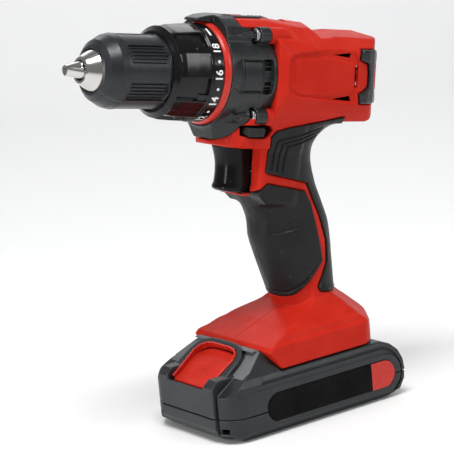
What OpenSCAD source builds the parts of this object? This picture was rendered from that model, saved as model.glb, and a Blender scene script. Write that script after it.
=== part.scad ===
// Cordless drill driver with a two-speed planetary gearbox, slipping clutch,
// keyless chuck and a sliding battery pack.
// The pack stands flat on the ground at z = 0 with the origin under its middle.
// The nose points along -x and rises a little, because the spindle is tilted to the pack.
// Parts of the drive are drawn in the spindle frame: x runs from the jaw tips to the rear,
// z is up and square to the spindle.

/* [Overall] */
// tilt of the spindle against the base of the battery pack, degrees
tilt = 10; // [0:0.5:15]
// position of the closed jaw tips along x
tip_x = -113.5; // [-130:0.5:-100]
// height of the closed jaw tips over the base
tip_z = 201.3; // [180:0.1:220]
// wall thickness of the plastic housings
wall = 2.4; // [1.8:0.1:3.5]
// thickness of the rubber overmould
pad_t = 1.2; // [0.8:0.1:2]

/* [Chuck] */
// outer radius of the chuck sleeve
sleeve_r = 19.1; // [17:0.1:22]
// half angle of the jaws
jaw_angle = 15; // [10:0.5:20]
// radius of each round jaw
jaw_r = 3.5; // [3:0.1:4.5]
// radius of the hole between the closed jaws
jaw_grip_r = 0.75; // [0.5:0.05:1.5]
// length of a jaw along its axis
jaw_len = 27; // [22:0.5:32]

/* [Clutch and gears] */
// largest radius of the torque collar
collar_r = 25.3; // [24:0.1:28]
// number of raised grip lands on the torque collar
collar_lands = 12; // [8:1:16]
// gear module
gear_m = 0.8; // [0.5:0.05:1]
// teeth on each sun wheel and planet wheel
small_teeth = 12; // [12:3:18]
// teeth on each ring wheel
ring_teeth = 36; // [36:9:54]
// number of clutch balls
ball_count = 6; // [3:1:8]

/* [Housing] */
// outer radius of the gear housing
gear_house_r = 27; // [25:0.5:30]
// half width of the motor housing
body_w = 30; // [27:0.5:34]
// rear end of the motor housing along the spindle
body_end = 187; // [180:0.5:195]

/* [Battery] */
// half width of the battery pack
pack_w = 36; // [33:0.5:40]
// front of the battery pack
pack_front = -61; // [-65:0.5:-55]
// rear of the battery pack
pack_rear = 58.5; // [50:0.5:62]
// height of the pack under the foot
pack_h = 32; // [28:0.5:36]
// radius of a battery cell
cell_r = 9.1; // [9:0.05:9.3]
// number of battery cells
cell_count = 5; // [4:1:5]
// slope of the latch button's face, degrees
latch_slope = 33.5; // [28:0.1:40]

/* [Hidden] */
$fn = 64;
gap = 0.3;
red = [0.77, 0.14, 0.09];
red_lit = [0.85, 0.20, 0.12];
grey = [0.23, 0.25, 0.27];
light_grey = [0.52, 0.53, 0.54];
black = [0.06, 0.06, 0.07];
rubber = [0.20, 0.21, 0.22];
steel = [0.72, 0.73, 0.75];
chrome = [0.88, 0.89, 0.91];
brass = [0.80, 0.65, 0.32];
copper = [0.72, 0.42, 0.24];
board = [0.10, 0.32, 0.18];
cell_blue = [0.16, 0.36, 0.62];

// stations along the spindle, measured from the closed jaw tips
body_front_s = 8.5;
sleeve_front_s = 14.8;
sleeve_rear_s = 56;
collar_front_s = 51;
collar_rear_s = 78.4;
trim_rear_s = 82.3;
house_rear_s = 111;
motor_front_s = 108;
motor_rear_s = 158;
centre_d = gear_m * small_teeth;
boss_y = 21;
boss_h = 20.6;

// housing screws in the spindle frame, as [s, h, length of the boss to the side wall]
body_screws = [
    [141, 24, 13], [179.5, 13.5, 21.4], [178.5, -14.5, 21.8],
    [124, -28.5, 19.6], [149, -36, 18], [150, -96, 15.2]
];
// housing screws in the foot, as [x, z, length of the boss]
foot_screws = [[-17, 47, 22.6], [48, 41, 25.6]];

// which sub-part to draw

// ---------- frames and simple shapes ----------

module on_spindle() {
    translate([tip_x, 0, tip_z]) rotate([0, tilt, 0]) children();
}

// a solid turned about the spindle, from points of [radius, s]
module turned(points) {
    rotate([0, 90, 0]) rotate_extrude() polygon(points);
}

module rod(r, s0, s1) {
    translate([s0, 0, 0]) rotate([0, 90, 0]) cylinder(r = r, h = s1 - s0);
}

module tube(ro, ri, s0, s1) {
    difference() {
        rod(ro, s0, s1);
        rod(ri, s0 - 1, s1 + 1);
    }
}

// an outline in x and z, thick along y
module side_plate(points, y0, y1) {
    translate([0, y1, 0]) rotate([90, 0, 0]) linear_extrude(height = y1 - y0) polygon(points);
}

// an outline in y and z, long along x
module end_plate(points, x0, x1) {
    translate([x0, 0, 0]) rotate([90, 0, 90]) linear_extrude(height = x1 - x0) polygon(points);
}

module box(x0, x1, y0, y1, z0, z1) {
    translate([x0, y0, z0]) cube([x1 - x0, y1 - y0, z1 - z0]);
}

// one side of the middle plane: side = -1 is the left half, side = 1 the right half
module half_space(side) {
    translate([-200, side > 0 ? 0 : -80, -40]) cube([400, 80, 320]);
}

function arc(cx, cy, r, a0, a1, n) =
    [for (i = [0:n]) [cx + r * cos(a0 + (a1 - a0) * i / n), cy + r * sin(a0 + (a1 - a0) * i / n)]];

// ring of points with straight-sided teeth
function tooth_points(z, r_root, r_tip, wide, narrow, turn) =
    [for (i = [0:z - 1]) for (k = [0:3])
        let (p = 360 / z,
             a = turn + p * i + (k == 0 ? -wide : k == 1 ? -narrow : k == 2 ? narrow : wide) * p,
             r = (k == 1 || k == 2) ? r_tip : r_root)
        [r * cos(a), r * sin(a)]];

// mirror in a list: an outline given for y > 0 is closed on the other side
function both_sides(points) = concat(points, [for (i = [len(points) - 1:-1:0]) [-points[i][0], points[i][1]]]);

// wire coil along x
function coil_ring(c, a, r, turns_r, w, sides) =
    [for (k = [0:sides - 1])
        let (b = 360 * k / sides, rr = turns_r + w * cos(b))
        [c + w * sin(b), rr * cos(a), rr * sin(a)]];

module coil(s0, s1, r, w, turns) {
    steps = round(turns * 18);
    sides = 8;
    rings = [for (i = [0:steps])
        coil_ring(s0 + w + (s1 - s0 - 2 * w) * i / steps, 360 * turns * i / steps, r, r, w, sides)];
    points = [for (q = rings) for (p = q) p];
    skin = [for (i = [0:steps - 1]) for (k = [0:sides - 1])
        [i * sides + k, (i + 1) * sides + k,
         (i + 1) * sides + (k + 1) % sides, i * sides + (k + 1) % sides]];
    polyhedron(
        points = points,
        faces = concat(
            [[for (k = [0:sides - 1]) k]],
            skin,
            [[for (k = [sides - 1:-1:0]) steps * sides + k]]
        ),
        convexity = 10
    );
}

// ---------- outer form of the clamshell housing; t moves every face inwards ----------

module motor_block(t) {
    intersection() {
        side_plate([
            [106 + t, 29.5 - t], [146, 29.5 - t], [153 - t / 2, 25 - t], [179 - t / 2, 25 - t],
            [body_end - t, 14 - t / 2], [body_end - t, -13 + t / 2], [181 - t / 2, -20 + t],
            [174, -23.5 + t], [106 + t, -23.5 + t]
        ], -40, 40);
        end_plate(both_sides([
            [12 - t / 2, 29.5 - t], [26 - t, 17.5 - t / 2], [body_w - t, 14 - t / 2],
            [body_w - t, -14 + t / 2], [27 - t, -18.5 + t / 2], [20 - t / 2, -23.5 + t]
        ]), 100, 190);
        translate([0, 0, -40]) linear_extrude(height = 80) polygon([
            [100, 27.6 - t], [111, 27.6 - t], [116, body_w - t], [160, body_w - t],
            [173, 27.5 - t], [body_end - t, 20 - t / 2], [body_end - t, -20 + t / 2],
            [173, -27.5 + t], [160, -body_w + t], [116, -body_w + t],
            [111, -27.6 + t], [100, -27.6 + t]
        ]);
    }
}

// the block that carries the direction selector, under the gear housing
module selector_block(t) {
    intersection() {
        side_plate([
            [94 + t, -20], [92 + t, -34 + t], [157 - t, -37], [163 - t, -28], [172, -20]
        ], -40, 40);
        end_plate(both_sides([
            [26 - t, -20], [21.5 - t, -27], [19.5 - t, -38]
        ]), 80, 180);
    }
}

module trigger_column(t) {
    intersection() {
        side_plate([
            [110 + t, -33], [110 + t, -60], [114 + t, -66], [160 - t, -62],
            [158 - t, -52], [156 - t, -43], [157 - t, -36]
        ], -19.5 + t, 19.5 - t);
        end_plate(both_sides([[19.5 - t, -30], [18.5 - t, -52], [17.2 - t, -68]]), 80, 180);
    }
}

// thin bar over the trigger and lip under it
module trigger_guard() {
    side_plate([[84, -35], [85.5, -37], [113, -38], [113, -32], [93, -32], [90, -34]], -9.5, 9.5);
    side_plate([[103, -62], [108, -66.5], [114, -67.5], [120, -64], [112, -60]], -10, 10);
}

module grip_slice(s, h, a, w) {
    translate([s, 0, h]) scale([a, w, 1]) cylinder(r = 1, h = 0.02, $fn = 32);
}

module grip_tube(t) {
    hull() {
        grip_slice(134, -50, 22.8 - t, 18 - t);
        grip_slice(138.5, -66, 24.3 - t, 17 - t);
    }
    hull() {
        grip_slice(138.5, -66, 24.3 - t, 17 - t);
        grip_slice(148, -94, 23.4 - t, 16.6 - t);
    }
    hull() {
        grip_slice(148, -94, 23.4 - t, 16.6 - t);
        grip_slice(156, -121, 20.2 - t, 16.4 - t);
    }
}

module foot_block(t) {
    intersection() {
        side_plate([
            [-28.6 + t, 43], [-29.5 + t, 47 - t / 2], [-22, 52.5 - t], [-13, 55 - t],
            [-5, 60 - t], [0, 66], [36, 66], [41, 56 - t], [52 - t / 2, 47 - t / 2],
            [57 - t, 40], [58.4 - t, 32.3 + t], [-22.5 + t, 32.3 + t]
        ], -40, 40);
        end_plate(both_sides([
            [34 - t, 30], [33.4 - t, 38 - t / 4], [29 - t, 43 - t / 2], [19.5 - t, 57], [17 - t, 66]
        ]), -60, 80);
        translate([0, 0, 20]) linear_extrude(height = 60) polygon([
            [-60, 34 - t], [40, 34 - t], [50 - t / 2, 30 - t / 2], [58.4 - t, 18],
            [58.4 - t, -18], [50 - t / 2, -30 + t / 2], [40, -34 + t], [-60, -34 + t]
        ]);
    }
}

module housing_outer(t) {
    on_spindle() {
        motor_block(t);
        selector_block(t);
        trigger_column(t);
        grip_tube(t);
    }
    foot_block(t);
}

// everything that is cut from both housing halves
module housing_cuts() {
    on_spindle() {
        // seat of the gear housing
        rod(gear_house_r + 0.05, 80, house_rear_s);
        rod(22.1, 105, 118);
        // opening for the trigger
        box(100, 118.5, -9.4, 9.4, -61.5, -37.6);
        // slot for the direction selector
        box(94.4, 112.6, -40, 40, -31.7, -27.4);
        for (y = [-1, 1]) {
            translate([0, y * 24.5, 0]) box(93.4, 113.6, -9.7, 9.7, -32.6, -24.2);
        }
        // slot for the speed selector on top
        box(104, 131, -6.4, 6.4, 24, 33);
        // air slots
        for (y = [-1, 1]) {
            translate([0, y * 29, 0]) {
                box(156.6, 158.4, -5, 5, -8.5, 8.5);
                box(148, 155, -5, 5, 10.6, 12.2);
                box(148, 155, -5, 5, -12.2, -10.6);
            }
        }
        // screws of the gear housing
        for (y = [-boss_y, boss_y]) for (z = [-boss_h, boss_h]) {
            translate([0, y, z]) {
                rod(4.6, 90, house_rear_s);
                rod(1.65, 104, 124);
            }
        }
    }
    // opening for the rail of the battery pack and its rear clearance
    box(-40, 46, -17, 17, 30, 36);
    box(-40, 47, -21, 21, 34.7, 39.4);
}

// a round bar on each screw axis, from y0 outwards; y_end = 0 takes each boss's own length
module screw_line(side, ro, y0, y_end) {
    for (p = body_screws) {
        on_spindle() translate([p[0], side * y0, p[1]]) rotate([-90 * side, 0, 0])
            cylinder(r = ro, h = (y_end > 0 ? y_end : p[2]) - y0);
    }
    for (p = foot_screws) {
        translate([p[0], side * y0, p[1]]) rotate([-90 * side, 0, 0])
            cylinder(r = ro, h = (y_end > 0 ? y_end : p[2]) - y0);
    }
}

module boss_ribs(y, z) {
    on_spindle() translate([0, y * boss_y, z * boss_h]) rod(4.2, house_rear_s, 124);
}

module housing_half(side) {
    difference() {
        union() {
            intersection() {
                difference() {
                    union() {
                        housing_outer(0);
                        on_spindle() trigger_guard();
                    }
                    housing_outer(wall);
                }
                half_space(side);
            }
            screw_line(side, side > 0 ? 4.4 : 3.4, 0, 0);
            boss_ribs(side, 1);
            boss_ribs(side, -1);
        }
        housing_cuts();
        if (side > 0) {
            screw_line(side, 1.7, -1, 20);
            screw_line(side, 3.2, 6, 46);
        } else {
            screw_line(side, 1.52, -1, 12.4);
        }
    }
}

module left_housing() {
    color(red) housing_half(-1);
}

module right_housing() {
    color(red) housing_half(1);
}

// ---------- gear housing and its screws ----------

module gear_housing() {
    color(grey) on_spindle() difference() {
        union() {
            rod(gear_house_r, trim_rear_s + 0.1, house_rear_s - 0.1);
            for (y = [-boss_y, boss_y]) for (z = [-boss_h, boss_h]) {
                translate([0, y, z]) rod(4.3, 97, house_rear_s - 0.1);
            }
            // skirt over the trigger guard
            side_plate([[82.5, -22], [82.6, -26], [85, -33.4], [89.6, -33.6], [91.6, -31.6], [91.7, -20]], -14.5, 14.5);
            // pointer pad on top
            box(trim_rear_s - 1.6, 95, -7, 7, 20, 28.6);
        }
        // room for the trim ring and collar
        rod(collar_r + 1.4, 60, trim_rear_s + 0.1);
        rod(22.08, 80, 120);
        tube(gear_house_r - wall, 23, 85.5, 120);
        for (y = [-boss_y, boss_y]) for (z = [-boss_h, boss_h]) {
            translate([0, y, z]) {
                rod(3.05, 90, 103.6);
                rod(1.65, 100, 120);
            }
        }
        // room for the direction selector and the speed selector
        box(93.4, 120, -40, 40, -40, -27);
        box(103, 120, -6.4, 6.4, 22, 40);
    }
}

module gear_housing_screws() {
    color(steel) on_spindle() for (y = [-boss_y, boss_y]) for (z = [-boss_h, boss_h]) {
        translate([0, y, z]) difference() {
            union() {
                rod(2.9, 100.8, 103.6);
                rod(1.6, 103.6, 122);
            }
            translate([99, 0, 0]) rotate([0, 90, 0]) cylinder(r = 1.35, h = 3.4, $fn = 6);
        }
    }
}

module housing_screws() {
    color(steel) difference() {
        union() {
            screw_line(1, 1.5, -12, 7);
            screw_line(1, 2.9, 6.02, 8.4);
        }
        for (p = body_screws) {
            on_spindle() translate([p[0], 7, p[1]]) rotate([-90, 0, 0]) cylinder(r = 1.3, h = 3, $fn = 6);
        }
        for (p = foot_screws) {
            translate([p[0], 7, p[1]]) rotate([-90, 0, 0]) cylinder(r = 1.3, h = 3, $fn = 6);
        }
    }
}

// ---------- rubber overmould and bumpers ----------

grip_pad_outline = [
    [113, -58], [141, -60], [149.5, -73], [158.5, -97], [146, -116.5], [124, -116.5], [98, -90], [104, -66]
];

module grip_pad(side) {
    color(rubber) difference() {
        intersection() {
            on_spindle() difference() {
                grip_tube(-pad_t);
                grip_tube(0);
                trigger_guard();
                trigger_column(0.01);
            }
            on_spindle() side_plate(grip_pad_outline, side > 0 ? 0.2 : -40, side > 0 ? 40 : -0.2);
        }
        foot_block(0);
    }
}

module left_grip_pad() {
    grip_pad(-1);
}

module right_grip_pad() {
    grip_pad(1);
}

module back_pad(side) {
    color(rubber) difference() {
        intersection() {
            on_spindle() difference() {
                union() {
                    selector_block(-pad_t);
                    trigger_column(-pad_t);
                    grip_tube(-pad_t);
                }
                motor_block(0);
                selector_block(0);
                trigger_column(0);
                grip_tube(0);
            }
            on_spindle() side_plate([
                [115, -28.6], [135, -25.5], [160, -21.5], [175, -24.2], [190, -40], [190, -112],
                [164, -112], [163, -96], [155, -72], [147, -56.5], [115, -51]
            ], side > 0 ? 0.2 : -40, side > 0 ? 40 : -0.2);
        }
        foot_block(0);
    }
}

module left_back_pad() {
    back_pad(-1);
}

module right_back_pad() {
    back_pad(1);
}

module rear_bumper(side) {
    color(grey) intersection() {
        on_spindle() difference() {
            motor_block(-1.4);
            motor_block(0);
        }
        on_spindle() side_plate([
            [160, 13.5], [182, 13.5], [182, 6.5], [176, 6.5], [176, -6.5],
            [182, -6.5], [182, -13.5], [160, -13.5], [160, -7], [166, -6], [166, 6], [160, 7]
        ], side > 0 ? 20 : -40, side > 0 ? 40 : -20);
    }
}

module left_rear_bumper() {
    rear_bumper(-1);
}

module right_rear_bumper() {
    rear_bumper(1);
}

// ---------- motor ----------

module motor_can() {
    color(steel) on_spindle() difference() {
        union() {
            rod(18.8, motor_front_s + 0.1, motor_rear_s);
        }
        rod(17, motor_front_s + 2, motor_rear_s + 1);
        rod(2.9, 100, 120);
        for (a = [45:90:315]) rotate([a, 0, 0]) translate([0, 0, 11]) rod(2.6, 105, 112);
    }
}

module motor_end_cap() {
    color(black) on_spindle() difference() {
        union() {
            rod(18.8, motor_rear_s + 0.02, motor_rear_s + 3);
            rod(16.9, motor_rear_s - 3, motor_rear_s + 1);
            rod(5.6, motor_rear_s, motor_rear_s + 5.5);
        }
        rod(6.6, 140, motor_rear_s + 1);
        rod(14.6, 140, motor_rear_s + 1.0);
        rod(2.56, 140, 180);
        for (a = [0:90:270]) rotate([a + 45, 0, 0]) translate([0, 0, 11]) rod(2.4, 150, 170);
    }
}

module motor_magnets() {
    color(grey) on_spindle() for (a = [0, 180]) rotate([a, 0, 0]) intersection() {
        tube(16.9, 14.6, 116, 148);
        end_plate([[0, 0], [-30, 14], [-30, 40], [30, 40], [30, 14]], 110, 152);
    }
}

module armature() {
    color(copper) on_spindle() difference() {
        union() {
            end_plate(tooth_points(5, 11.5, 14.1, 0.40, 0.34, 0), 119, 145);
            turned([[2.51, 113], [9.5, 113], [11.3, 115], [11.3, 119.5], [2.51, 119.5]]);
            turned([[2.51, 144.5], [11.3, 144.5], [11.3, 148], [9.5, 150], [2.51, 150]]);
        }
        rod(2.5, 100, 170);
    }
}

module motor_shaft() {
    color(steel) on_spindle() rod(2.49, 96.4, 174);
}

module commutator() {
    color(copper) on_spindle() difference() {
        rod(6, 150.6, 157.4);
        rod(2.5, 140, 170);
        for (a = [0:36:324]) rotate([a, 0, 0]) box(150, 158, -0.2, 0.2, 5.2, 7);
    }
}

module cooling_fan() {
    color(black) on_spindle() difference() {
        union() {
            rod(4.5, 165.6, 172);
            rod(15.5, 170.5, 172);
            for (a = [0:30:330]) rotate([a, 0, 0]) box(166, 171, -0.6, 0.6, 3.5, 15.5);
        }
        rod(2.5, 150, 180);
    }
}

module carbon_brushes() {
    color(grey) on_spindle() for (a = [0, 180]) rotate([a, 0, 0]) difference() {
        box(151.8, 156.2, -2.2, 2.2, 5, 14.4);
        rod(6.05, 140, 170);
    }
}

// ---------- gearbox ----------

module small_wheel(s0, s1, bore, turn) {
    difference() {
        end_plate(tooth_points(small_teeth, centre_d / 2 - gear_m * 1.25, centre_d / 2 + gear_m * 0.9,
            0.26, 0.11, turn), s0, s1);
        rod(bore, s0 - 1, s1 + 1);
    }
}

module ring_wheel(s0, s1, ro) {
    difference() {
        rod(ro, s0, s1);
        end_plate(tooth_points(ring_teeth, gear_m * ring_teeth / 2 - gear_m * 0.85,
            gear_m * ring_teeth / 2 + gear_m * 1.25, 0.36, 0.24, 180 / ring_teeth), s0 - 1, s1 + 1);
    }
}

// planets sit on pins round the spindle; the first one is straight up
module at_planet(i) {
    rotate([120 * i, 0, 0]) translate([0, 0, centre_d]) children();
}

module planet(i, s0, s1) {
    color(steel) on_spindle() at_planet(i) small_wheel(s0, s1, 2.03, 90 + 180 / small_teeth);
}

module pinion() {
    color(brass) on_spindle() small_wheel(97, 104.6, 2.5, 90);
}

module planet_gear_1a() {
    planet(0, 97.2, 103);
}

module planet_gear_1b() {
    planet(1, 97.2, 103);
}

module planet_gear_1c() {
    planet(2, 97.2, 103);
}

module ring_gear_1() {
    color(steel) on_spindle() rotate([90, 0, 0]) ring_wheel(94.2, 104.4, 19);
}

module planet_carrier_1() {
    color(steel) on_spindle() difference() {
        union() {
            rod(13, 94.3, 96.2);
            for (i = [0:2]) at_planet(i) rod(2, 94.3, 103.6);
            small_wheel(86.9, 94.4, 1, 90);
        }
        rod(1, 80, 97);
    }
}

module planet_gear_2a() {
    planet(0, 87.2, 93.6);
}

module planet_gear_2b() {
    planet(1, 87.2, 93.6);
}

module planet_gear_2c() {
    planet(2, 87.2, 93.6);
}

module ring_gear_2() {
    color(steel) on_spindle() rotate([90, 0, 0]) ring_wheel(83.9, 93.9, 19);
}

module output_carrier() {
    color(steel) on_spindle() difference() {
        union() {
            rod(13, 84.1, 86.6);
            for (i = [0:2]) at_planet(i) rod(2, 84.1, 93.9);
        }
        // square socket for the spindle
        box(80, 90, -4.05, 4.05, -4.05, 4.05);
    }
}

module gearbox_case() {
    color(light_grey) on_spindle() difference() {
        union() {
            rod(22, 80, 107.8);
            rod(13, 57.6, 80.5);
        }
        rod(19.05, 83.6, 110);
        rod(9.5, 50, 68);
        rod(6.7, 60, 84);
        for (i = [0:ball_count - 1]) rotate([360 / ball_count * i, 0, 0]) translate([0, 0, 17.2]) rod(2.6, 76, 84);
    }
}

module spindle_bush() {
    color(brass) on_spindle() tube(9.48, 6.04, 60.5, 67.9);
}

module spindle() {
    color(steel) on_spindle() difference() {
        union() {
            rod(4.75, 38.4, 52.2);
            rod(6, 52, 83);
            intersection() {
                rod(5.6, 82, 86.4);
                box(80, 90, -4, 4, -4, 4);
            }
        }
        rod(2.45, 30, 54);
    }
}

// ---------- clutch ----------

module clutch_spring() {
    color(steel) on_spindle() coil(66.8, 77.1, 16.6, 1.1, 3.5);
}

module clutch_washer() {
    color(steel) on_spindle() tube(20.6, 13.1, 77.2, 78.6);
}

module clutch_balls() {
    color(chrome) on_spindle() for (i = [0:ball_count - 1]) {
        rotate([360 / ball_count * i, 0, 0]) translate([81.2, 0, 17.2]) sphere(r = 2.5);
    }
}

module clutch_nut() {
    color(black) on_spindle() tube(20.6, 13.1, 62.8, 66.6);
}

module torque_collar() {
    color(black) on_spindle() difference() {
        union() {
            turned([
                [19.8, collar_front_s], [21.6, collar_front_s], [23.4, 53], [24.3, 57],
                [24.9, 72], [25.0, 72.5], [25.2, collar_rear_s], [21.2, collar_rear_s],
                [21.2, 60.2], [13.1, 60.2], [13.1, 58.2], [19.8, 58.2]
            ]);
            for (i = [0:collar_lands - 1]) rotate([360 / collar_lands * i, 0, 0]) intersection() {
                turned([[22, 53.5], [24, 53.5], [25.1, 56], [25.3, 71], [22, 71]]);
                box(50, 80, -3.2, 3.2, 15, 30);
            }
        }
        // fine click notches inside the rim
        for (i = [0:17]) rotate([360 / 18 * i, 0, 0]) translate([0, 0, 21.2]) rod(0.6, 75, 79);
    }
}

module trim_ring() {
    color(red_lit) on_spindle() turned([
        [22.1, 78.7], [25.4, 78.7], [26.6, trim_rear_s], [22.1, trim_rear_s]
    ]);
}

// ---------- chuck ----------

// radius of the jaw axis at station s
function jaw_axis_r(s) = -1.22 + s * tan(jaw_angle);

module jaw_path(r, l0, l1) {
    translate([0, 0, jaw_axis_r(0)]) rotate([0, 90 - jaw_angle, 0])
        translate([0, 0, l0]) cylinder(r = r, h = l1 - l0);
}

module jaw(i) {
    color(chrome) on_spindle() rotate([120 * i, 0, 0]) difference() {
        intersection() {
            jaw_path(jaw_r, -4, jaw_len);
            // each jaw keeps to its own third, less a small gap
            end_plate([[0, 0.12], [-17.2, 10.05], [-17.2, 30], [17.2, 30], [17.2, 10.05]], 0, 40);
        }
        rod(jaw_grip_r, -5, 45);
    }
}

module chuck_jaw_1() {
    jaw(0);
}

module chuck_jaw_2() {
    jaw(1);
}

module chuck_jaw_3() {
    jaw(2);
}

module chuck_body() {
    color(chrome) on_spindle() difference() {
        turned([
            [0, body_front_s], [6.4, body_front_s], [7, 9], [10.9, 15.6], [10.9, 22], [8.2, 22],
            [8.2, 28.4], [15.9, 28.4], [15.9, 55], [0, 55]
        ]);
        rod(5.2, 5, 38.3);
        rod(4.8, 38, 52.1);
        rod(6.02, 52, 60);
        for (i = [0:2]) rotate([120 * i, 0, 0]) jaw_path(jaw_r + 0.05, -5, 45);
    }
}

module chuck_nut() {
    color(steel) on_spindle() turned([
        [8.9, 22.2], [15.9, 22.2], [15.9, 28.2], [10.5, 28.2]
    ]);
}

module chuck_sleeve() {
    color(grey) on_spindle() difference() {
        union() {
            turned([
                [11.2, sleeve_front_s], [12.6, sleeve_front_s], [15.6, 17.5], [18.2, 22],
                [sleeve_r - 0.5, 25], [sleeve_r - 0.5, sleeve_rear_s], [16.2, sleeve_rear_s],
                [16.2, 20.5], [11.2, 18]
            ]);
            // smooth lands
            for (i = [0:5]) rotate([60 * i, 0, 0]) intersection() {
                turned([[16.5, 22.5], [18.4, 22.5], [sleeve_r, 26], [sleeve_r, sleeve_rear_s], [16.5, sleeve_rear_s]]);
                box(20, 60, -5.4, 5.4, 10, 30);
            }
            // fine ribs between them
            for (i = [0:5]) for (k = [-2:2]) rotate([60 * i + 30 + 5 * k, 0, 0]) {
                box(29, 50 - abs(k), -0.45, 0.45, 18, sleeve_r - 0.1);
            }
        }
    }
}

module chuck_screw() {
    color(steel) on_spindle() difference() {
        union() {
            rod(3.8, 35.6, 38.38);
            rod(2.4, 38, 53);
        }
        rod(1.2, 30, 37.4);
    }
}

// ---------- controls ----------

module speed_selector() {
    color(black) on_spindle() difference() {
        union() {
            box(107.6, 119.6, -6, 6, 27.5, 30);
            for (k = [0:3]) box(109.2 + 2.6 * k, 110.4 + 2.6 * k, -5.4, 5.4, 29, 30.6);
            box(111, 116, -2, 2, 22.6, 28);
        }
    }
}

module direction_selector() {
    color(black) on_spindle() union() {
        box(95, 112, -22, 22, -31.1, -28.2);
        for (y = [-1, 1]) translate([0, y * 20.4, 0]) {
            box(94.2, 112.8, -2.2, 2.2, -31.4, -25);
            for (k = [0:2]) box(97.5 + 5 * k, 99.5 + 5 * k, -2.6, 2.6, -30.4, -26);
        }
    }
}

module trigger() {
    color(black) on_spindle() difference() {
        union() {
            side_plate([
                [92.6, -38.2], [110.6, -38.2], [110.6, -60.6], [90.8, -60.6],
                [90.4, -58.5], [93, -53], [94.4, -48], [94.6, -44], [93.8, -40]
            ], -8.9, 8.9);
            box(110, 114, -3.4, 3.4, -52, -46);
        }
        // room inside for the return spring
        translate([0, 0, -49]) rod(2.9, 104, 120);
    }
}

module trigger_spring() {
    color(steel) on_spindle() translate([0, 0, -49]) coil(104.3, 120.8, 2.2, 0.35, 6);
}

module switch_module() {
    color(grey) on_spindle() difference() {
        union() {
            box(121, 143, -8.6, 8.6, -60.5, -38.5);
            box(126, 141, -6, 6, -64, -60);
        }
    }
}

module terminal_block() {
    color(black) union() {
        box(8, 40, -12, 12, 43.2, 50);
        for (y = [-7, 0, 7]) box(20, 36, y - 0.4, y + 0.4, 35.4, 44);
    }
}

// ---------- battery pack ----------

function pack_plan(i, rf, rr) = concat(
    arc(pack_front + i + rf, -pack_w + i + rf, rf, 270, 180, 6),
    arc(pack_front + i + rf, pack_w - i - rf, rf, 180, 90, 6),
    arc(pack_rear - i - rr, pack_w - i - rr, rr, 90, 0, 6),
    arc(pack_rear - i - rr, -pack_w + i + rr, rr, 0, -90, 6)
);

module pack_prism(i, z0, z1) {
    translate([0, 0, z0]) linear_extrude(height = z1 - z0) polygon(pack_plan(i, 12, 8));
}

module pack_side_form(i) {
    side_plate(concat(
        [[pack_front + 4 + i, 0 + i], [pack_front + i, 8], [pack_front + i, 26 - 0.54 * i],
         [-34 + 0.3 * i, 43.8 - i], [-28.9 - i, 42.6 - i / 2],
         [-23 - i, pack_h - i], [44, pack_h - i], [49 - i, 28 - i / 2], [51 - i / 2, 22]],
        arc(46.6, 11.9, 11.9 - i, 60, -90, 10)
    ), -50, 50);
}

// cross-section of the pack: the shoulders lean in over the main body
module pack_end_form(i) {
    end_plate(both_sides([
        [34 - i, i], [pack_w - i, 3], [pack_w - i, 21], [34.6 - i, 25], [34 - i, pack_h - i / 2], [24 - i, 44 - i], [20 - i, 50]
    ]), -80, 80);
}

module pack_outer(i) {
    intersection() {
        pack_prism(i, 0, 60);
        pack_side_form(i);
        pack_end_form(i);
    }
}

split_z = 11.5;

module battery_lower_shell() {
    color(grey) difference() {
        intersection() {
            pack_outer(0);
            box(-80, 80, -50, 50, 0, split_z);
        }
        intersection() {
            pack_outer(1.9);
            box(-80, 80, -50, 50, 1.9, 30);
        }
        for (x = [-52, 52]) for (y = [-26, 26]) translate([x * 0.92, y, -1]) cylinder(r = 1.3, h = 8);
    }
}

module battery_upper_shell() {
    color(light_grey) difference() {
        union() {
            difference() {
                intersection() {
                    pack_outer(0);
                    box(-80, 80, -50, 50, split_z + 0.02, 60);
                }
                intersection() {
                    pack_outer(1.9);
                    box(-80, 80, -50, 50, 0, 60);
                }
            }
            // sliding rail with its head
            box(-26, 43, -16.4, 16.4, pack_h - 2, 36);
            box(-26, 43, -20.4, 20.4, 35.2, 38.8);
        }
        // slots for the terminals, open to the rear
        for (y = [-7, 0, 7]) box(16, 60, y - 1.3, y + 1.3, 33.6, 45);
        // opening of the latch button
        on_latch() latch_form(0.35, -9.5, 10);
    }
}

// frame of the latch button: x runs up the slope of the front shoulder, z points out of it
module on_latch() {
    translate([-46.5, 0, 35.4]) rotate([0, -latch_slope, 0]) children();
}

module latch_form(grow, z0, z1) {
    translate([0, 0, z0]) linear_extrude(height = z1 - z0) polygon([
        [-13 - grow, -14.8 - grow], [7 + grow / 2, -16.2 - grow], [11.5 + grow, -12.5 - grow],
        [11.5 + grow, 12.5 + grow], [7 + grow / 2, 16.2 + grow], [-13 - grow, 14.8 + grow]
    ]);
}

module latch_button() {
    color(red) on_latch() difference() {
        union() {
            latch_form(0, -6, -0.2);
            for (k = [-3:3]) box(1.6 * k - 0.3, 1.6 * k + 0.3, -13, 13, -0.4, 0.1);
        }
        // hollow behind the face
        box(-8, 8, -13.5, 13.5, -7, -2);
    }
}

module latch_spring() {
    color(steel) on_latch() rotate([0, -90, 0]) coil(-12, -2.2, 2.4, 0.35, 5);
}

module battery_cells() {
    color(cell_blue) for (i = [0:cell_count - 1]) {
        translate([-38.2 + 19.4 * i, -32.4, 11.6]) rotate([-90, 0, 0]) cylinder(r = cell_r, h = 64.8);
    }
}

module cell_holder() {
    color(black) difference() {
        box(-47, 48, -29, 29, 15, 22.6);
        for (i = [0:cell_count - 1]) {
            translate([-38.2 + 19.4 * i, -40, 11.6]) rotate([-90, 0, 0]) cylinder(r = cell_r + 0.1, h = 80);
        }
        box(-60, -40, -5, 5, 10, 30);
    }
}

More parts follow.
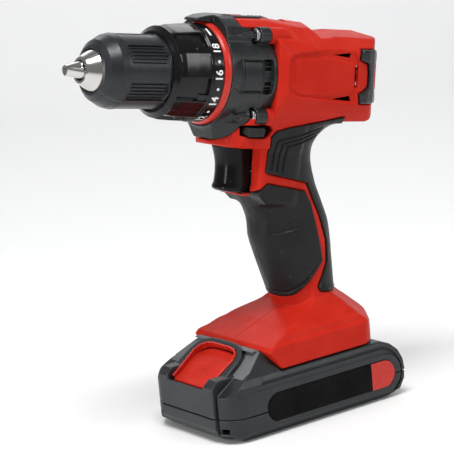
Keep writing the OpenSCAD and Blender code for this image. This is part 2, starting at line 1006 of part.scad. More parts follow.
module battery_contacts() {
    color(brass) for (y = [-7, 7]) {
        translate([0, y, 0]) {
            box(17, 32, -1.1, -0.6, 33.7, 37.5);
            box(17, 32, 0.6, 1.1, 33.7, 37.5);
        }
    }
}

module battery_screws() {
    color(steel) for (x = [-52, 52]) for (y = [-26, 26]) translate([x * 0.92, y, 0.3]) {
        cylinder(r = 1.28, h = 4.5);
    }
}

left_housing();
right_housing();
gear_housing();
left_grip_pad();
right_grip_pad();
left_back_pad();
right_back_pad();
left_rear_bumper();
right_rear_bumper();
housing_screws();
gear_housing_screws();
motor_can();
motor_end_cap();
motor_magnets();
armature();
motor_shaft();
commutator();
cooling_fan();
carbon_brushes();
pinion();
planet_gear_1a();
planet_gear_1b();
planet_gear_1c();
ring_gear_1();
planet_carrier_1();
planet_gear_2a();
planet_gear_2b();
planet_gear_2c();
ring_gear_2();
output_carrier();
gearbox_case();
spindle();
spindle_bush();
clutch_spring();
clutch_washer();
clutch_balls();
clutch_nut();
torque_collar();
trim_ring();
chuck_body();
chuck_jaw_1();
chuck_jaw_2();
chuck_jaw_3();
chuck_nut();
chuck_sleeve();
chuck_screw();
speed_selector();
direction_selector();
trigger();
trigger_spring();
switch_module();
terminal_block();
battery_lower_shell();
battery_upper_shell();
latch_button();
latch_spring();
battery_cells();
cell_holder();
battery_contacts();
battery_screws();
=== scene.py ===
import math

import bpy
import numpy as np
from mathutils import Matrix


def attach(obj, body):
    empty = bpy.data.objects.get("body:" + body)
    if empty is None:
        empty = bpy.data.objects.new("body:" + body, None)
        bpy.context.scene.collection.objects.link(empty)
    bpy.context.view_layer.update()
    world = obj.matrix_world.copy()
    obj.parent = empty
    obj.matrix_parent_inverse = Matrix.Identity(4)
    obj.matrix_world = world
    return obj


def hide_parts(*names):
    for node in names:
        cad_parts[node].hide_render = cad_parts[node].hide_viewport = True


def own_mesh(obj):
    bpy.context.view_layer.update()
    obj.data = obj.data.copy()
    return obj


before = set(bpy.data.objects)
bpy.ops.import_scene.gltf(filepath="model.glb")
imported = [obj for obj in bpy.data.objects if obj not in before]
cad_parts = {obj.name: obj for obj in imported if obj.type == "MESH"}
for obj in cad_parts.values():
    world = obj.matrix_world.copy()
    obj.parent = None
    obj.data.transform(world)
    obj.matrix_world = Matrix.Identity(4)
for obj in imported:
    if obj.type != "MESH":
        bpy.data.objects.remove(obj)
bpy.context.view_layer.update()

import openvdb
from mathutils import Matrix, Vector

# ---------------------------------------------------------------- frames
# Lengths below are millimetres. The nose frame has s along the spindle from the
# jaw tips rearward, y across, and h up at right angles to the spindle.
MM = 0.001
TILT = math.radians(10.0)
COS, SIN = math.cos(TILT), math.sin(TILT)
TIP_X, TIP_Z = -113.5, 201.3


def nose_to_world(p):
    return np.stack([TIP_X + p[:, 0] * COS + p[:, 2] * SIN, p[:, 1],
                     TIP_Z - p[:, 0] * SIN + p[:, 2] * COS], 1)


# ---------------------------------------------------------------- distance fields
def join(a, b, r=0.0):
    """Union of two distance fields, with a fillet of about r in the inner corner."""
    m = np.minimum(a, b)
    return m - np.maximum(r - np.abs(a - b), 0) ** 2 / (4 * r) if r else m


def keep(a, b, r=0.0):
    """What is inside both fields, with the new edge rounded by about r."""
    m = np.maximum(a, b)
    return m + np.maximum(r - np.abs(a - b), 0) ** 2 / (4 * r) if r else m


def cut(a, b, r=0.0):
    return keep(a, -b, r)


def outline(points, a, b):
    """Signed distance to a closed outline, in the plane of a and b."""
    a, b = np.broadcast_arrays(a, b)
    best = np.full(a.shape, 1e12, np.float32)
    inside = np.zeros(a.shape, bool)
    last = points[-1]
    for point in points:
        (x0, y0), (x1, y1) = last, point
        ex, ey = x1 - x0, y1 - y0
        wx, wy = a - x0, b - y0
        t = np.clip((wx * ex + wy * ey) / (ex * ex + ey * ey), 0, 1)
        best = np.minimum(best, (wx - t * ex) ** 2 + (wy - t * ey) ** 2)
        inside ^= ((y0 <= b) != (y1 <= b)) & (((ex * wy - ey * wx) > 0) == (ey > 0))
        last = point
    return (np.where(inside, -1, 1) * np.sqrt(best)).astype(np.float32)


def span(v, lo, hi):
    return np.maximum(lo - v, v - hi)


def track(points, a, b, r):
    """Distance to a round-ended line of radius r through points, in the plane of a and b."""
    d = None
    for (x0, y0), (x1, y1) in zip(points, points[1:]):
        ex, ey = x1 - x0, y1 - y0
        t = np.clip(((a - x0) * ex + (b - y0) * ey) / (ex * ex + ey * ey), 0, 1)
        e = np.hypot(a - x0 - t * ex, b - y0 - t * ey) - r
        d = e if d is None else np.minimum(d, e)
    return d


def curve(v, points):
    """Smooth interpolation of (position, value) pairs."""
    xs = np.array([p[0] for p in points], float)
    ys = np.array([p[1] for p in points], float)
    slope = np.gradient(ys, xs)
    v = np.clip(v, xs[0], xs[-1])
    i = np.clip(np.searchsorted(xs, v) - 1, 0, len(xs) - 2)
    w = xs[i + 1] - xs[i]
    t = (v - xs[i]) / w
    return ((2 * t ** 3 - 3 * t ** 2 + 1) * ys[i] + (t ** 3 - 2 * t ** 2 + t) * w * slope[i]
            + (3 * t ** 2 - 2 * t ** 3) * ys[i + 1] + (t ** 3 - t ** 2) * w * slope[i + 1])


class Field:
    """A block of sample points. s, y and h broadcast against each other."""

    def __init__(self, lo, hi, step, nose=True):
        self.lo, self.step, self.nose = np.array(lo, float), step, nose
        s, y, h = [np.arange(lo[i], hi[i] + step, step, dtype=np.float32) for i in range(3)]
        self.s, self.y, self.h = s[:, None, None], y[None, :, None], h[None, None, :]
        self.ay = np.abs(self.y)
        self.X = TIP_X + self.s * COS + self.h * SIN if nose else self.s
        self.Z = TIP_Z - self.s * SIN + self.h * COS if nose else self.h

    def side(self, points):
        """Distance to an outline of the side view."""
        return outline(points, self.s, self.h)


def sample(d, p):
    """Trilinear reading of the array d at index positions p."""
    top = np.array(d.shape) - 1.001
    p = np.clip(p, 0, top)
    i = p.astype(int)
    f = p - i
    out = 0
    for corner in range(8):
        k = [(corner >> a) & 1 for a in range(3)]
        w = 1
        for a in range(3):
            w = w * (f[:, a] if k[a] else 1 - f[:, a])
        out = out + w * d[i[:, 0] + k[0], i[:, 1] + k[1], i[:, 2] + k[2]]
    return out


def new_object(name, data):
    ob = bpy.data.objects.new(name, data)
    bpy.context.scene.collection.objects.link(ob)
    return ob


def mesh_object(name, verts, faces_list, normals=None, sharp=None):
    """faces_list holds integer arrays, one row a face. verts are in metres."""
    me = bpy.data.meshes.new(name)
    loops = np.concatenate([f.ravel() for f in faces_list])
    sizes = np.concatenate([np.full(len(f), f.shape[1]) for f in faces_list])
    me.vertices.add(len(verts))
    me.vertices.foreach_set("co", verts.astype(np.float32).ravel())
    me.loops.add(len(loops))
    me.loops.foreach_set("vertex_index", loops.astype(np.int32))
    me.polygons.add(len(sizes))
    me.polygons.foreach_set("loop_start", np.concatenate([[0], np.cumsum(sizes)[:-1]]).astype(np.int32))
    me.update(calc_edges=True)
    me.validate()
    me.shade_smooth()
    if sharp:
        me.set_sharp_from_angle(angle=math.radians(sharp))
    if normals is not None and len(me.vertices) == len(normals):
        me.normals_split_custom_set_from_vertices(normals.tolist())
    return new_object(name, me)


def solid(name, f, d, mirror=False):
    """Meshes the zero surface of the field d; mirror puts it on the drill's left side."""
    band = 3 * f.step
    d = np.clip(np.broadcast_to(d, (f.s.shape[0], f.y.shape[1], f.h.shape[2])), -band, band)
    d = np.ascontiguousarray(d, np.float32)
    grid = openvdb.FloatGrid(background=float(band))
    grid.copyFromArray(d)
    p, tris, quads = grid.convertToPolygons(isovalue=0.0, adaptivity=0.0)
    p = p.astype(float)
    g = np.stack([sample(d, p + e) - sample(d, p - e) for e in 0.6 * np.eye(3)], 1)
    g /= np.maximum(np.linalg.norm(g, axis=1), 1e-9)[:, None]
    v = f.lo + p * f.step
    faces = [a.astype(np.int64) for a in (tris, quads) if len(a)]
    if mirror:
        v[:, 1] *= -1
        g[:, 1] *= -1
        faces = [a[:, ::-1] for a in faces]
    if f.nose:
        v = nose_to_world(v)
        g = np.stack([g[:, 0] * COS + g[:, 2] * SIN, g[:, 1], -g[:, 0] * SIN + g[:, 2] * COS], 1)
    return mesh_object(name, v * MM, faces, normals=g)


def turned(name, profile, count, wave=None, sharp=35, fine=None):
    """A closed profile of (s, r) turned about the spindle; wave(s, r, angle) alters r."""
    rows = []
    for (s0, r0), (s1, r1) in zip(profile, profile[1:] + profile[:1]):
        n = max(1, int(math.hypot(s1 - s0, r1 - r0) / fine)) if fine else 1
        rows += [(s0 + (s1 - s0) * k / n, r0 + (r1 - r0) * k / n) for k in range(n)]
    rows = np.array(rows)
    ang = np.arange(count) * 2 * math.pi / count
    s = np.repeat(rows[:, :1], count, 1)
    r = np.repeat(rows[:, 1:], count, 1)
    a = np.repeat(ang[None], len(rows), 0)
    if wave:
        r = wave(s, r, a)
    v = np.stack([s.ravel(), (-r * np.cos(a)).ravel(), (r * np.sin(a)).ravel()], 1)
    i = np.arange(len(rows))[:, None] * count + np.arange(count)[None]
    j = np.roll(i, -1, 0)
    faces = np.stack([i, j, np.roll(j, -1, 1), np.roll(i, -1, 1)], -1).reshape(-1, 4)
    return mesh_object(name, nose_to_world(v) * MM, [faces], sharp=sharp)


# ---------------------------------------------------------------- materials
def put(node, **values):
    """Set inputs of a shader node; an underscore stands for a space in an input's name."""
    for key, value in values.items():
        node.inputs[key.replace("_", " ")].default_value = value


def material(name, colour, rough, grain=0.02, grain_size=0.35, metal=0.0, tone=0.05,
             wear=0.12, wear_colour=None, streak=None, uneven=0.06, spec=0.35):
    """Moulded, turned or plated surface. grain is the height of the fine texture in mm."""
    m = bpy.data.materials.new(name)
    m.use_nodes = True
    nt = m.node_tree
    nodes, links = nt.nodes, nt.links
    bsdf = nodes["Principled BSDF"]
    put(bsdf, Metallic=metal, Specular_IOR_Level=spec)
    where = nodes.new("ShaderNodeTexCoord")
    place = nodes.new("ShaderNodeMapping")
    if streak:
        put(place, Rotation=(0, TILT, 0), Scale=streak)
    links.new(where.outputs["Object"], place.inputs["Vector"])

    def noise(scale, detail):
        n = nodes.new("ShaderNodeTexNoise")
        put(n, Scale=scale, Detail=detail)
        links.new(place.outputs["Vector"], n.inputs["Vector"])
        return n.outputs["Fac"]

    fine, broad = noise(1000.0 / grain_size, 3.0), noise(90.0, 4.0)
    light = [min(1.0, c * (1 + tone) + 0.004) for c in colour]
    dark = [c * (1 - tone) for c in colour]
    ramp = nodes.new("ShaderNodeValToRGB")
    ramp.color_ramp.elements[0].position, ramp.color_ramp.elements[1].position = 0.3, 0.7
    ramp.color_ramp.elements[0].color = (*dark, 1)
    ramp.color_ramp.elements[1].color = (*light, 1)
    links.new(broad, ramp.inputs["Fac"])
    edge = nodes.new("ShaderNodeNewGeometry")
    worn = nodes.new("ShaderNodeMapRange")
    put(worn, From_Min=0.52, From_Max=0.62, To_Max=wear)
    links.new(edge.outputs["Pointiness"], worn.inputs["Value"])
    mix = nodes.new("ShaderNodeMix")
    mix.data_type = "RGBA"
    tint = wear_colour or [min(1.0, 0.35 + 0.7 * c) for c in colour]
    put(mix, B=(*tint, 1))
    links.new(worn.outputs["Result"], mix.inputs["Factor"])
    links.new(ramp.outputs["Color"], mix.inputs["A"])
    links.new(mix.outputs["Result"], bsdf.inputs["Base Color"])
    gloss = nodes.new("ShaderNodeMapRange")
    put(gloss, From_Min=0.3, From_Max=0.7, To_Min=max(0.02, rough - uneven), To_Max=rough + uneven)
    links.new(noise(260.0, 5.0), gloss.inputs["Value"])
    links.new(gloss.outputs["Result"], bsdf.inputs["Roughness"])
    bump = nodes.new("ShaderNodeBump")
    put(bump, Strength=1.0, Distance=grain * MM)
    links.new(fine, bump.inputs["Height"])
    links.new(bump.outputs["Normal"], bsdf.inputs["Normal"])
    return m


ALONG = (0.04, 1, 1)
MATS = {
    "red": material("red_plastic", (0.50, 0.017, 0.007), 0.42, 0.006, 0.3, wear=0.08,
                    wear_colour=(0.65, 0.08, 0.05), spec=0.08),
    "red_grain": material("red_grained_plastic", (0.50, 0.017, 0.007), 0.48, 0.05, 0.5, tone=0.10,
                          spec=0.10),
    "red_gloss": material("red_ring", (0.52, 0.016, 0.007), 0.28, 0.004, 0.3),
    "grey": material("dark_grey_plastic", (0.011, 0.013, 0.014), 0.30, 0.010, 0.3, wear=0.10),
    "light_grey": material("textured_grey_plastic", (0.13, 0.135, 0.14), 0.55, 0.05, 0.5, tone=0.12),
    "pack": material("pack_plastic", (0.015, 0.018, 0.0195), 0.37, 0.012, 0.35, wear=0.12),
    "rubber": material("grip_rubber", (0.007, 0.0075, 0.008), 0.42, 0.02, 0.4, wear=0.05,
                       uneven=0.08, spec=0.20),
    "matte": material("black_plastic", (0.006, 0.006, 0.007), 0.45, 0.01, 0.4),
    "gloss": material("glossy_black_plastic", (0.003, 0.003, 0.0035), 0.16, 0.001, 0.4, spec=0.3,
                      uneven=0.03, wear=0.04),
    "trigger": material("smooth_black_plastic", (0.0025, 0.0025, 0.003), 0.20, 0.002, 0.4, uneven=0.03,
                        wear=0.04, spec=0.16),
    "plate": material("black_plate", (0.0012, 0.0012, 0.0014), 0.28, 0.002, 0.4, wear=0.0, spec=0.06),
    "sleeve": material("sleeve_plastic", (0.014, 0.016, 0.019), 0.32, 0.006, 0.3, wear=0.12),
    "chrome": material("chrome_plating", (0.60, 0.585, 0.56), 0.16, 0.0006, 0.5, metal=1.0, uneven=0.03,
                       wear=0.05, streak=ALONG),
    "steel": material("machined_steel", (0.52, 0.52, 0.52), 0.28, 0.002, 0.4, metal=1.0, streak=ALONG),
    "gear": material("gear_steel", (0.42, 0.42, 0.43), 0.34, 0.003, 0.4, metal=1.0),
    "screw": material("zinc_screw", (0.30, 0.30, 0.31), 0.32, 0.003, 0.3, metal=1.0,
                      wear=0.5, wear_colour=(0.6, 0.6, 0.6)),
    "brass": material("brass", (0.66, 0.44, 0.16), 0.28, 0.002, 0.4, metal=1.0),
    "copper": material("copper_windings", (0.60, 0.26, 0.12), 0.32, 0.05, 0.4, metal=0.9),
    "magnet": material("ferrite", (0.045, 0.045, 0.048), 0.6, 0.01, 0.5),
    "case": material("gearbox_plastic", (0.30, 0.31, 0.32), 0.5, 0.01, 0.4),
    "cell": material("cell_wrap", (0.07, 0.20, 0.45), 0.3, 0.004, 0.4),
    "white": material("white_print", (0.86, 0.86, 0.85), 0.5, 0.002, 0.4, wear=0.0),
}


def dress(piece, mat, body, slot, *replaced):
    piece.data.materials.clear()
    piece.data.materials.append(MATS[mat])
    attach(piece, body)
    if replaced:
        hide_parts(*replaced)
    return piece


# ---------------------------------------------------------------- clamshell housing
STEP = 0.5
WALL = 2.4
BOSS_Y, BOSS_H = 21.0, 20.6  # axes of the gear housing screws, on each side, above and below
BOSS_R, BOSS_FRONT = 4.3, 107.5  # the red bosses behind them
SCREW_BOSS = 4.4  # radius of the bosses inside, where the halves are screwed together


def ramp_wall(v, points, w):
    """Field of the side wall whose half width w follows (v, half width) points."""
    xs = [p[0] for p in points]
    ys = [p[1] for p in points]
    width = np.interp(v, xs, ys)
    slope = np.interp(v, xs, np.gradient(ys, xs))
    return (w - width) / np.sqrt(1 + slope ** 2)


SIDE = [(104, 32), (170, 32), (181, 23.4), (185.6, 19.6), (187.2, 14.0), (187.2, -13),
        (181.5, -20), (174, -23.2), (104, -23.8)]
TOP_LINE = [(104, 30.4), (118, 30.2), (128.2, 29.2), (134.8, 28.3), (144.9, 27.4), (149.1, 25.5),
            (151.4, 23.6), (156.6, 23.7), (160, 24.4), (176, 24.2), (230, 23.0)]
SECTION = [(-9, 33), (7.9, 33), (27.2, 17.8), (31.5, 14.0), (31.5, -12.0), (27.4, -17.4),
           (22, -23.8), (-9, -23.8)]
PLAN = [(100, -5), (100, 27.2), (111, 27.4), (116, 30), (160, 30), (168, 28.6), (173, 26.4), (177, 23),
        (180.5, 19.2), (184, 15), (186.4, 10.5), (187.2, 4), (187.2, -5)]


def motor_block(f):
    """Body round the motor, its roof swept back, with a small tail for the rear vents."""
    sweep = f.s + 0.45 * f.ay
    roof = (f.h + 0.16 * f.ay - np.interp(sweep, *zip(*TOP_LINE))) * 0.9
    d = keep(f.side(SIDE), outline(SECTION, f.ay, f.h), 1.2)
    shelf_line = np.interp(f.s, [123, 124.2, 133.6, 134.8], [31.1, 30.3, 30.3, 29.2])
    shelf = 0.62 * f.ay + 0.785 * f.h - shelf_line
    d = keep(keep(d, roof, 0.8), shelf, 0.4)
    d = keep(d, outline(PLAN, f.s, f.ay), 1.5)
    tail = keep(span(f.s, 170, 189.4), span(f.h, -8, 9), 1.5)
    return join(d, keep(tail, f.ay - 11.5, 1.5), 0.8)


def under_block(f):
    """Under the motor: holds the direction selector and blends into the grip."""
    d = outline([(94, -16), (93.2, -27), (91.5, -33.5), (92, -37), (132, -37), (132, -16)], f.s, f.h)
    d = keep(d, ramp_wall(f.h, [(-39, 19.3), (-34, 20.2), (-27, 22.6), (-21, 25.0), (-16, 26.5)],
                          f.ay), 1.5)
    return keep(d, (91.5 + 0.8 * np.maximum(f.ay - 15, 0) - f.s) * 0.78, 0.8)


def trigger_column(f):
    """Column behind the trigger."""
    d = outline([(110.2, -30), (110.2, -58.5), (112, -61.5), (117, -66), (132, -66), (132, -30)], f.s, f.h)
    return keep(d, ramp_wall(f.h, [(-68, 16.6), (-60, 17.2), (-50, 18.2), (-36, 19.8), (-30, 20.5)],
                             f.ay), 3.0)


FRONT = [(-126, 143.0), (-114, 137.0), (-105, 132.2), (-94, 126.6), (-86, 123.0), (-76, 120.8),
         (-66, 115.6), (-56, 112.5), (-36, 110), (-14, 110)]
REAR = [(-126, 172.6), (-114, 171.8), (-105, 170.6), (-94, 168.7), (-86, 167.4), (-76, 164.9),
        (-66, 160.0), (-56, 154.4), (-48, 151.0), (-41, 149.4), (-34.7, 150.4), (-29.4, 154.4),
        (-25, 161.5), (-21.9, 170.0), (-18, 177), (-14, 180)]
GRIP_WIDTH = [(-126, 16.6), (-112, 16.2), (-100, 16.4), (-90, 16.8), (-78, 16.6), (-66, 16.6),
              (-50, 18.0), (-36, 19.6), (-27, 22.4), (-21, 24.8), (-14, 26.6)]


def grip_tube(f):
    """Grip, a rounded section between the FRONT and REAR lines."""
    lo, hi = curve(f.h, FRONT), curve(f.h, REAR)
    half = (hi - lo) / 2
    width = curve(f.h, GRIP_WIDTH)
    n = 2.2
    ds = np.abs(f.s - (lo + hi) / 2)
    q = ((ds / half) ** n + (f.ay / width) ** n) ** (1 / n) + 1e-6
    d = np.hypot(ds, f.ay) * (1 - 1 / q)
    return keep(d, span(f.h, -128, -15), 1.0)


FOOT_SIDE = [(-28.2, 40.6), (-29.2, 42.4), (-27.2, 44.4), (-20, 47.0), (-14, 49.2), (-9, 51.2),
             (0, 54.0), (8, 56.5), (14, 60), (16, 74), (34, 74), (41, 57.5), (46, 53), (50.5, 48),
             (53, 43), (55, 37), (56, 32.8), (-22.3, 32.8)]
FOOT_WIDTH = [(30, 34.2), (44.6, 33.4), (46.2, 31.2), (48.4, 30.4), (50.0, 27.8), (51.8, 26.6), (55.5, 21.2),
              (60, 18.0), (66, 16.8), (75, 16.4)]
FOOT_PLAN = [(-60, -5), (-60, 31), (-28, 34.3), (34, 34.3), (38.5, 31.6), (43, 27), (48.6, 18),
             (53, 10), (56, 4), (56, -5)]


def foot(f):
    """Foot that the pack slides on to, with slanted shoulders."""
    d = keep(outline(FOOT_SIDE, f.X, f.Z), ramp_wall(f.Z, FOOT_WIDTH, f.ay), 1.0)
    d = keep(d, 0.52 * f.X + 0.76 * f.Z + 0.386 * f.ay - 66.4, 1.0)
    return keep(d, outline(FOOT_PLAN, f.X, f.ay), 1.0)


GUARD = [(84.4, -34.2), (85.2, -35.8), (89, -36.3), (96, -36.9), (104, -37.1), (114, -37.1), (114, -30),
         (101, -22), (96, -24.4), (93.6, -27), (91.6, -31.0), (87.5, -33.6), (84, -34.0)]
GUARD_WIDTH = [(82.5, 1.5), (86, 5.0), (89, 9.5), (93, 15.0), (97.5, 19.5), (101, 21.0), (116, 21.5)]
LIP_WIDTH = [(100, 8.0), (106, 11.5), (112, 15), (120, 16.8)]
LIP = [(105.6, -62.0), (108.8, -65.3), (113, -67.0), (121, -65.5), (121, -56), (110.4, -58), (109, -60.8)]


def core(f):
    """Outer form of both red halves, without what the pads and the bumper add."""
    d = join(keep(motor_block(f), side_facets(f), 0.8), under_block(f), 2.0)
    d = join(d, trigger_column(f), 2.5)
    d = join(d, grip_tube(f), 3.0)
    return join(d, foot(f), 1.5)


def guard(f):
    """Bar over the trigger and the lip under it."""
    bar = keep(f.side(GUARD), ramp_wall(f.s, GUARD_WIDTH, f.ay), 1.0)
    lip = keep(f.side(LIP), ramp_wall(f.s, LIP_WIDTH, f.ay), 1.5)
    return np.minimum(bar, lip)


RIDGE_UP = [(110, 8.6), (115, 10.0), (122.3, 12.7), (135.2, 14.0), (146.4, 15.3), (160, 16.3), (190, 16.8)]
RIDGE_LOW = [(110, -6.0), (116.6, -7.6), (123.9, -10.3), (137.0, -11.4), (150.5, -12.7),
             (162, -13.6), (190, -14)]


def side_facets(f):
    """Slanted bands above and below the side panel."""
    up = np.interp(f.s, *zip(*RIDGE_UP))
    low = np.interp(f.s, *zip(*RIDGE_LOW))
    rise = 2.9 / (17.9 - up)
    fall = 2.6 / (low + 17.4)
    above = np.clip(f.h - up, -60, 17.9 - up)
    below = np.clip(low - f.h, -60, low + 17.4)
    return np.maximum((f.ay - 30 + rise * above) / np.sqrt(1 + rise ** 2),
                      (f.ay - 30 + fall * below) / np.sqrt(1 + fall ** 2))


PANEL = [(116.4, 8.6), (118.2, 11.0), (122.3, 12.2), (135.2, 13.5), (146.4, 14.8), (158.6, 15.6),
         (160.6, 9.4), (161.8, 9.0), (161.8, -7.0), (160.2, -12.8), (150.5, -12.2), (137, -11.0),
         (123.9, -9.9), (118.4, -8.6), (116.4, -6.4)]
PILLOW = [(119.3, 7.8), (120.6, 9.7), (129.7, 10.8), (139.5, 11.4), (146.0, 10.8), (160.0, 8.0),
          (160.4, -6.5), (157.4, -9.2), (144.5, -10.2), (128, -9.9), (121.0, -9.0), (119.2, -6.6)]
VENT_UP = [(145.2, 12.0), (156.9, 13.1), (156.2, 10.6)]
VENT_LOW = [(145.0, -10.9), (157.2, -9.2), (158.2, -11.9)]
BUMPER = [(163.8, 15), (177.5, 15), (182.4, 10.6), (178.6, 8.6), (176.2, 6.5), (176.2, -4.5),
          (178.5, -7), (181.6, -9), (178, -13.2), (163.6, -13.2), (162.4, -8.2), (165.8, -7),
          (169.4, -4.6), (169.9, 2), (168.8, 7.6), (162.3, 9.8)]
GRIP_PAD = [(115.2, -55.8), (140.5, -59.9), (145.7, -66.6), (151.7, -83.5), (156.1, -97.0),
            (141.4, -115.8), (138.6, -117.6), (100, -117.6), (92, -70), (100.5, -66.9),
            (104.2, -65.6), (107.3, -62.9)]
BACK_PAD = [(113.0, -31.2), (115.5, -28.4), (123.2, -26.3), (142.8, -23.0), (158, -20.2),
            (158.6, -23.6), (196, -27),
            (196, -113.6), (154.6, -113.6), (153.1, -111.3), (154.3, -109.7), (159.6, -98.2),
            (158.7, -86.4), (151.5, -71.3), (141.6, -55.6), (115.5, -50.7), (113.0, -49.8)]
GROOVES = [[(146.4, -26.1), (134, -29.2), (117.2, -33.3), (116.2, -38), (115.8, -48.3)],
           [(145.8, -28.2), (120.6, -34.8), (119.7, -40.6), (119.5, -48.9)],
           [(144.6, -30.6), (124.0, -36.2), (123.2, -43.2), (122.9, -49.7)]]
SELECTOR_HOLE = [(94.5, -26.2), (96.5, -25.2), (106.6, -24.9), (111.4, -25.3), (113.2, -27.6), (110.8, -31.0),
                 (109, -32.1), (99.3, -31.8), (94.8, -30.6)]
HOOD = [(88, 30.6), (104, 30.5), (112, 30.3), (112, 22.4), (88, 22.4)]


def hood(f):
    """Red roof that reaches forward over the grey housing, its front edge swept back."""
    across = outline([(-9, 33), (7.9, 33), (24.6, 20.0), (-9, 20.0)], f.ay, f.h)
    d = keep(f.side(HOOD), across, 0.8)
    d = keep(d, (f.h + 0.16 * f.ay - 30.4) * 0.9, 0.6)
    d = cut(d, around(f, BOSS_H) - 4.5)
    edge = np.interp(f.ay, [0, 8, 12, 17, 21, 25], [97.6, 93.4, 92.6, 92.8, 95.2, 99.0])
    return keep(d, (edge - f.s) * 0.9, 0.5)


def around(f, h):
    """Distance from the axis of a gear housing screw on either side, at height h."""
    return np.hypot(f.ay - BOSS_Y, f.h - h)


SKIRT = [(81.6, -18), (81.8, -24.6), (84.9, -33.4), (88, -33.3), (91.3, -31.2), (93.3, -27.3),
         (95.6, -24.6), (100.5, -22.2), (104, -21.5), (104, -12), (81.6, -12)]
SKIRT_PLAN = [(80, -5), (81.8, 11.0), (84.6, 13.4), (87.5, 15.5), (91.5, 19.2), (96, 21.0),
              (104, 21.8), (104, -5)]
DECK_SIDE = [(82.4, 29.4), (88, 30.3), (111, 30.1), (111, 10), (82.4, 10)]
DECK_END = [(-9, 30.2), (8.5, 30.2), (13, 28.2), (18.6, 24.4), (21.0, 20.0), (21, 10), (-9, 10)]
POINTER = [(73.0, 26.7), (74.2, 28.0), (80, 29.5), (88, 30.3), (92, 30.3), (92, 25), (73.2, 26.4)]


def gear_case(f):
    """Outer form of the grey housing round the gears."""
    r = np.hypot(f.ay, f.h)
    d = keep(r - 27, span(f.s, 82.4, 110.9), 0.6)
    deck = keep(f.side(DECK_SIDE), outline(DECK_END, f.ay, f.h), 0.6)
    d = join(d, deck, 0.8)
    pointer = keep(f.side(POINTER), f.ay - np.interp(f.s, [72, 80, 90], [5.0, 7.5, 9.0]), 0.5)
    d = join(d, pointer, 0.6)
    for h in (-BOSS_H, BOSS_H):
        d = join(d, keep(around(f, h) - 4.35, span(f.s, 100.4, 107.3), 0.5), 0.4)
        nib = np.hypot(f.ay - 20.2, f.h - 0.985 * h) - np.interp(f.s, [84, 97.6], [-0.6, 2.3])
        d = join(d, keep(nib, span(f.s, 84, 97.6), 0.4), 0.3)
    low = np.clip(-24.6 - f.h, 0, 10)
    skirt = keep(f.side(SKIRT), outline(SKIRT_PLAN, f.s - 0.32 * low, f.ay + 0.36 * low), 1.0)
    d = join(d, skirt, 2.5)
    d = cut(d, keep(r - 26.9, f.s - 82.3), 0.3)
    return cut(d, keep(r - 25.9, f.s - 76.0))


WINDOW = [(83.4, 5.6), (88.8, 8.4), (105.0, 8.4), (108.6, 8.4), (108.6, -8.6), (88.8, -8.6), (83.4, -5.6)]
SILL = [(91, 7.4), (102.6, 7.4), (102.6, -7.6), (91, -7.6)]
VENT_FRONT = [(103.9, 8.6), (108.2, 8.6), (108.2, -9), (103.9, -9)]


def gear_housing(f):
    """Grey housing with its side windows, screw seats and the bore for the gearbox."""
    r = np.hypot(f.ay, f.h)
    d = gear_case(f)
    ramp = np.interp(f.s, [83.4, 88.8, 89.2], [26.9, 25.9, 25.5])
    d = cut(d, np.maximum(keep(f.side(WINDOW), ramp - r), 14 - f.ay), 0.15)
    sill = keep(f.side(SILL), r - 26.0, 0.3)
    d = join(d, keep(sill, 20 - f.ay), 0.1)
    d = cut(d, np.maximum(keep(f.side(VENT_FRONT), 24.6 - r), 14 - f.ay), 0.15)
    d = cut(d, hood(f) - 0.15)
    for h in (-BOSS_H, BOSS_H):
        d = cut(d, keep(around(f, h) - 3.6, span(f.s, 97.8, 101.2)), 0.2)
        d = cut(d, keep(around(f, h) - 4.6, np.maximum(span(f.s, 97.8, 100.2), 26.2 - r)), 0.2)
    d = cut(d, keep(f.side(SELECTOR_HOLE) - 0.6, 15 - f.ay))
    d = cut(d, keep(span(f.s, 103.5, 121), np.maximum(f.ay - 6.6, 24 - f.h)))
    return keep(d, 24.4 - r, 0.2)


def pad_recess(f, form, shape):
    """Shallow seat for a pad of the given outline."""
    return keep(f.side(shape) - 0.35, -(form + 0.9))


def trigger_room(f):
    """Space the trigger moves in."""
    return np.maximum(np.maximum(span(f.s, 100, 119.5), span(f.h, -61.4, -37.0)), f.ay - 9.5)


SCREWS = [(141, 22.4), (179.5, 13.5), (178.5, -14.5), (124, -28.5), (143, -36), (150, -96)]
FOOT_SCREWS = [(-16, 40.2), (34, 39.6)]


def screw_axes(f):
    """Distances from the axes of the housing and foot screws."""
    return ([np.hypot(f.s - s, f.h - h) for s, h in SCREWS]
            + [np.hypot(f.X - x, f.Z - z) for x, z in FOOT_SCREWS])


def interior(f, form):
    """Room inside the walls, less the front bulkhead and the screw bosses."""
    bulkhead = np.minimum(113.4 - f.s, f.h + 21.5)
    gearbox_way = np.maximum(np.hypot(f.ay, f.h) - 24.6, span(f.s, 109, 116))
    room = np.minimum(np.maximum(form + WALL, bulkhead), gearbox_way)
    for away in screw_axes(f):
        room = np.maximum(room, SCREW_BOSS - away)
    return room


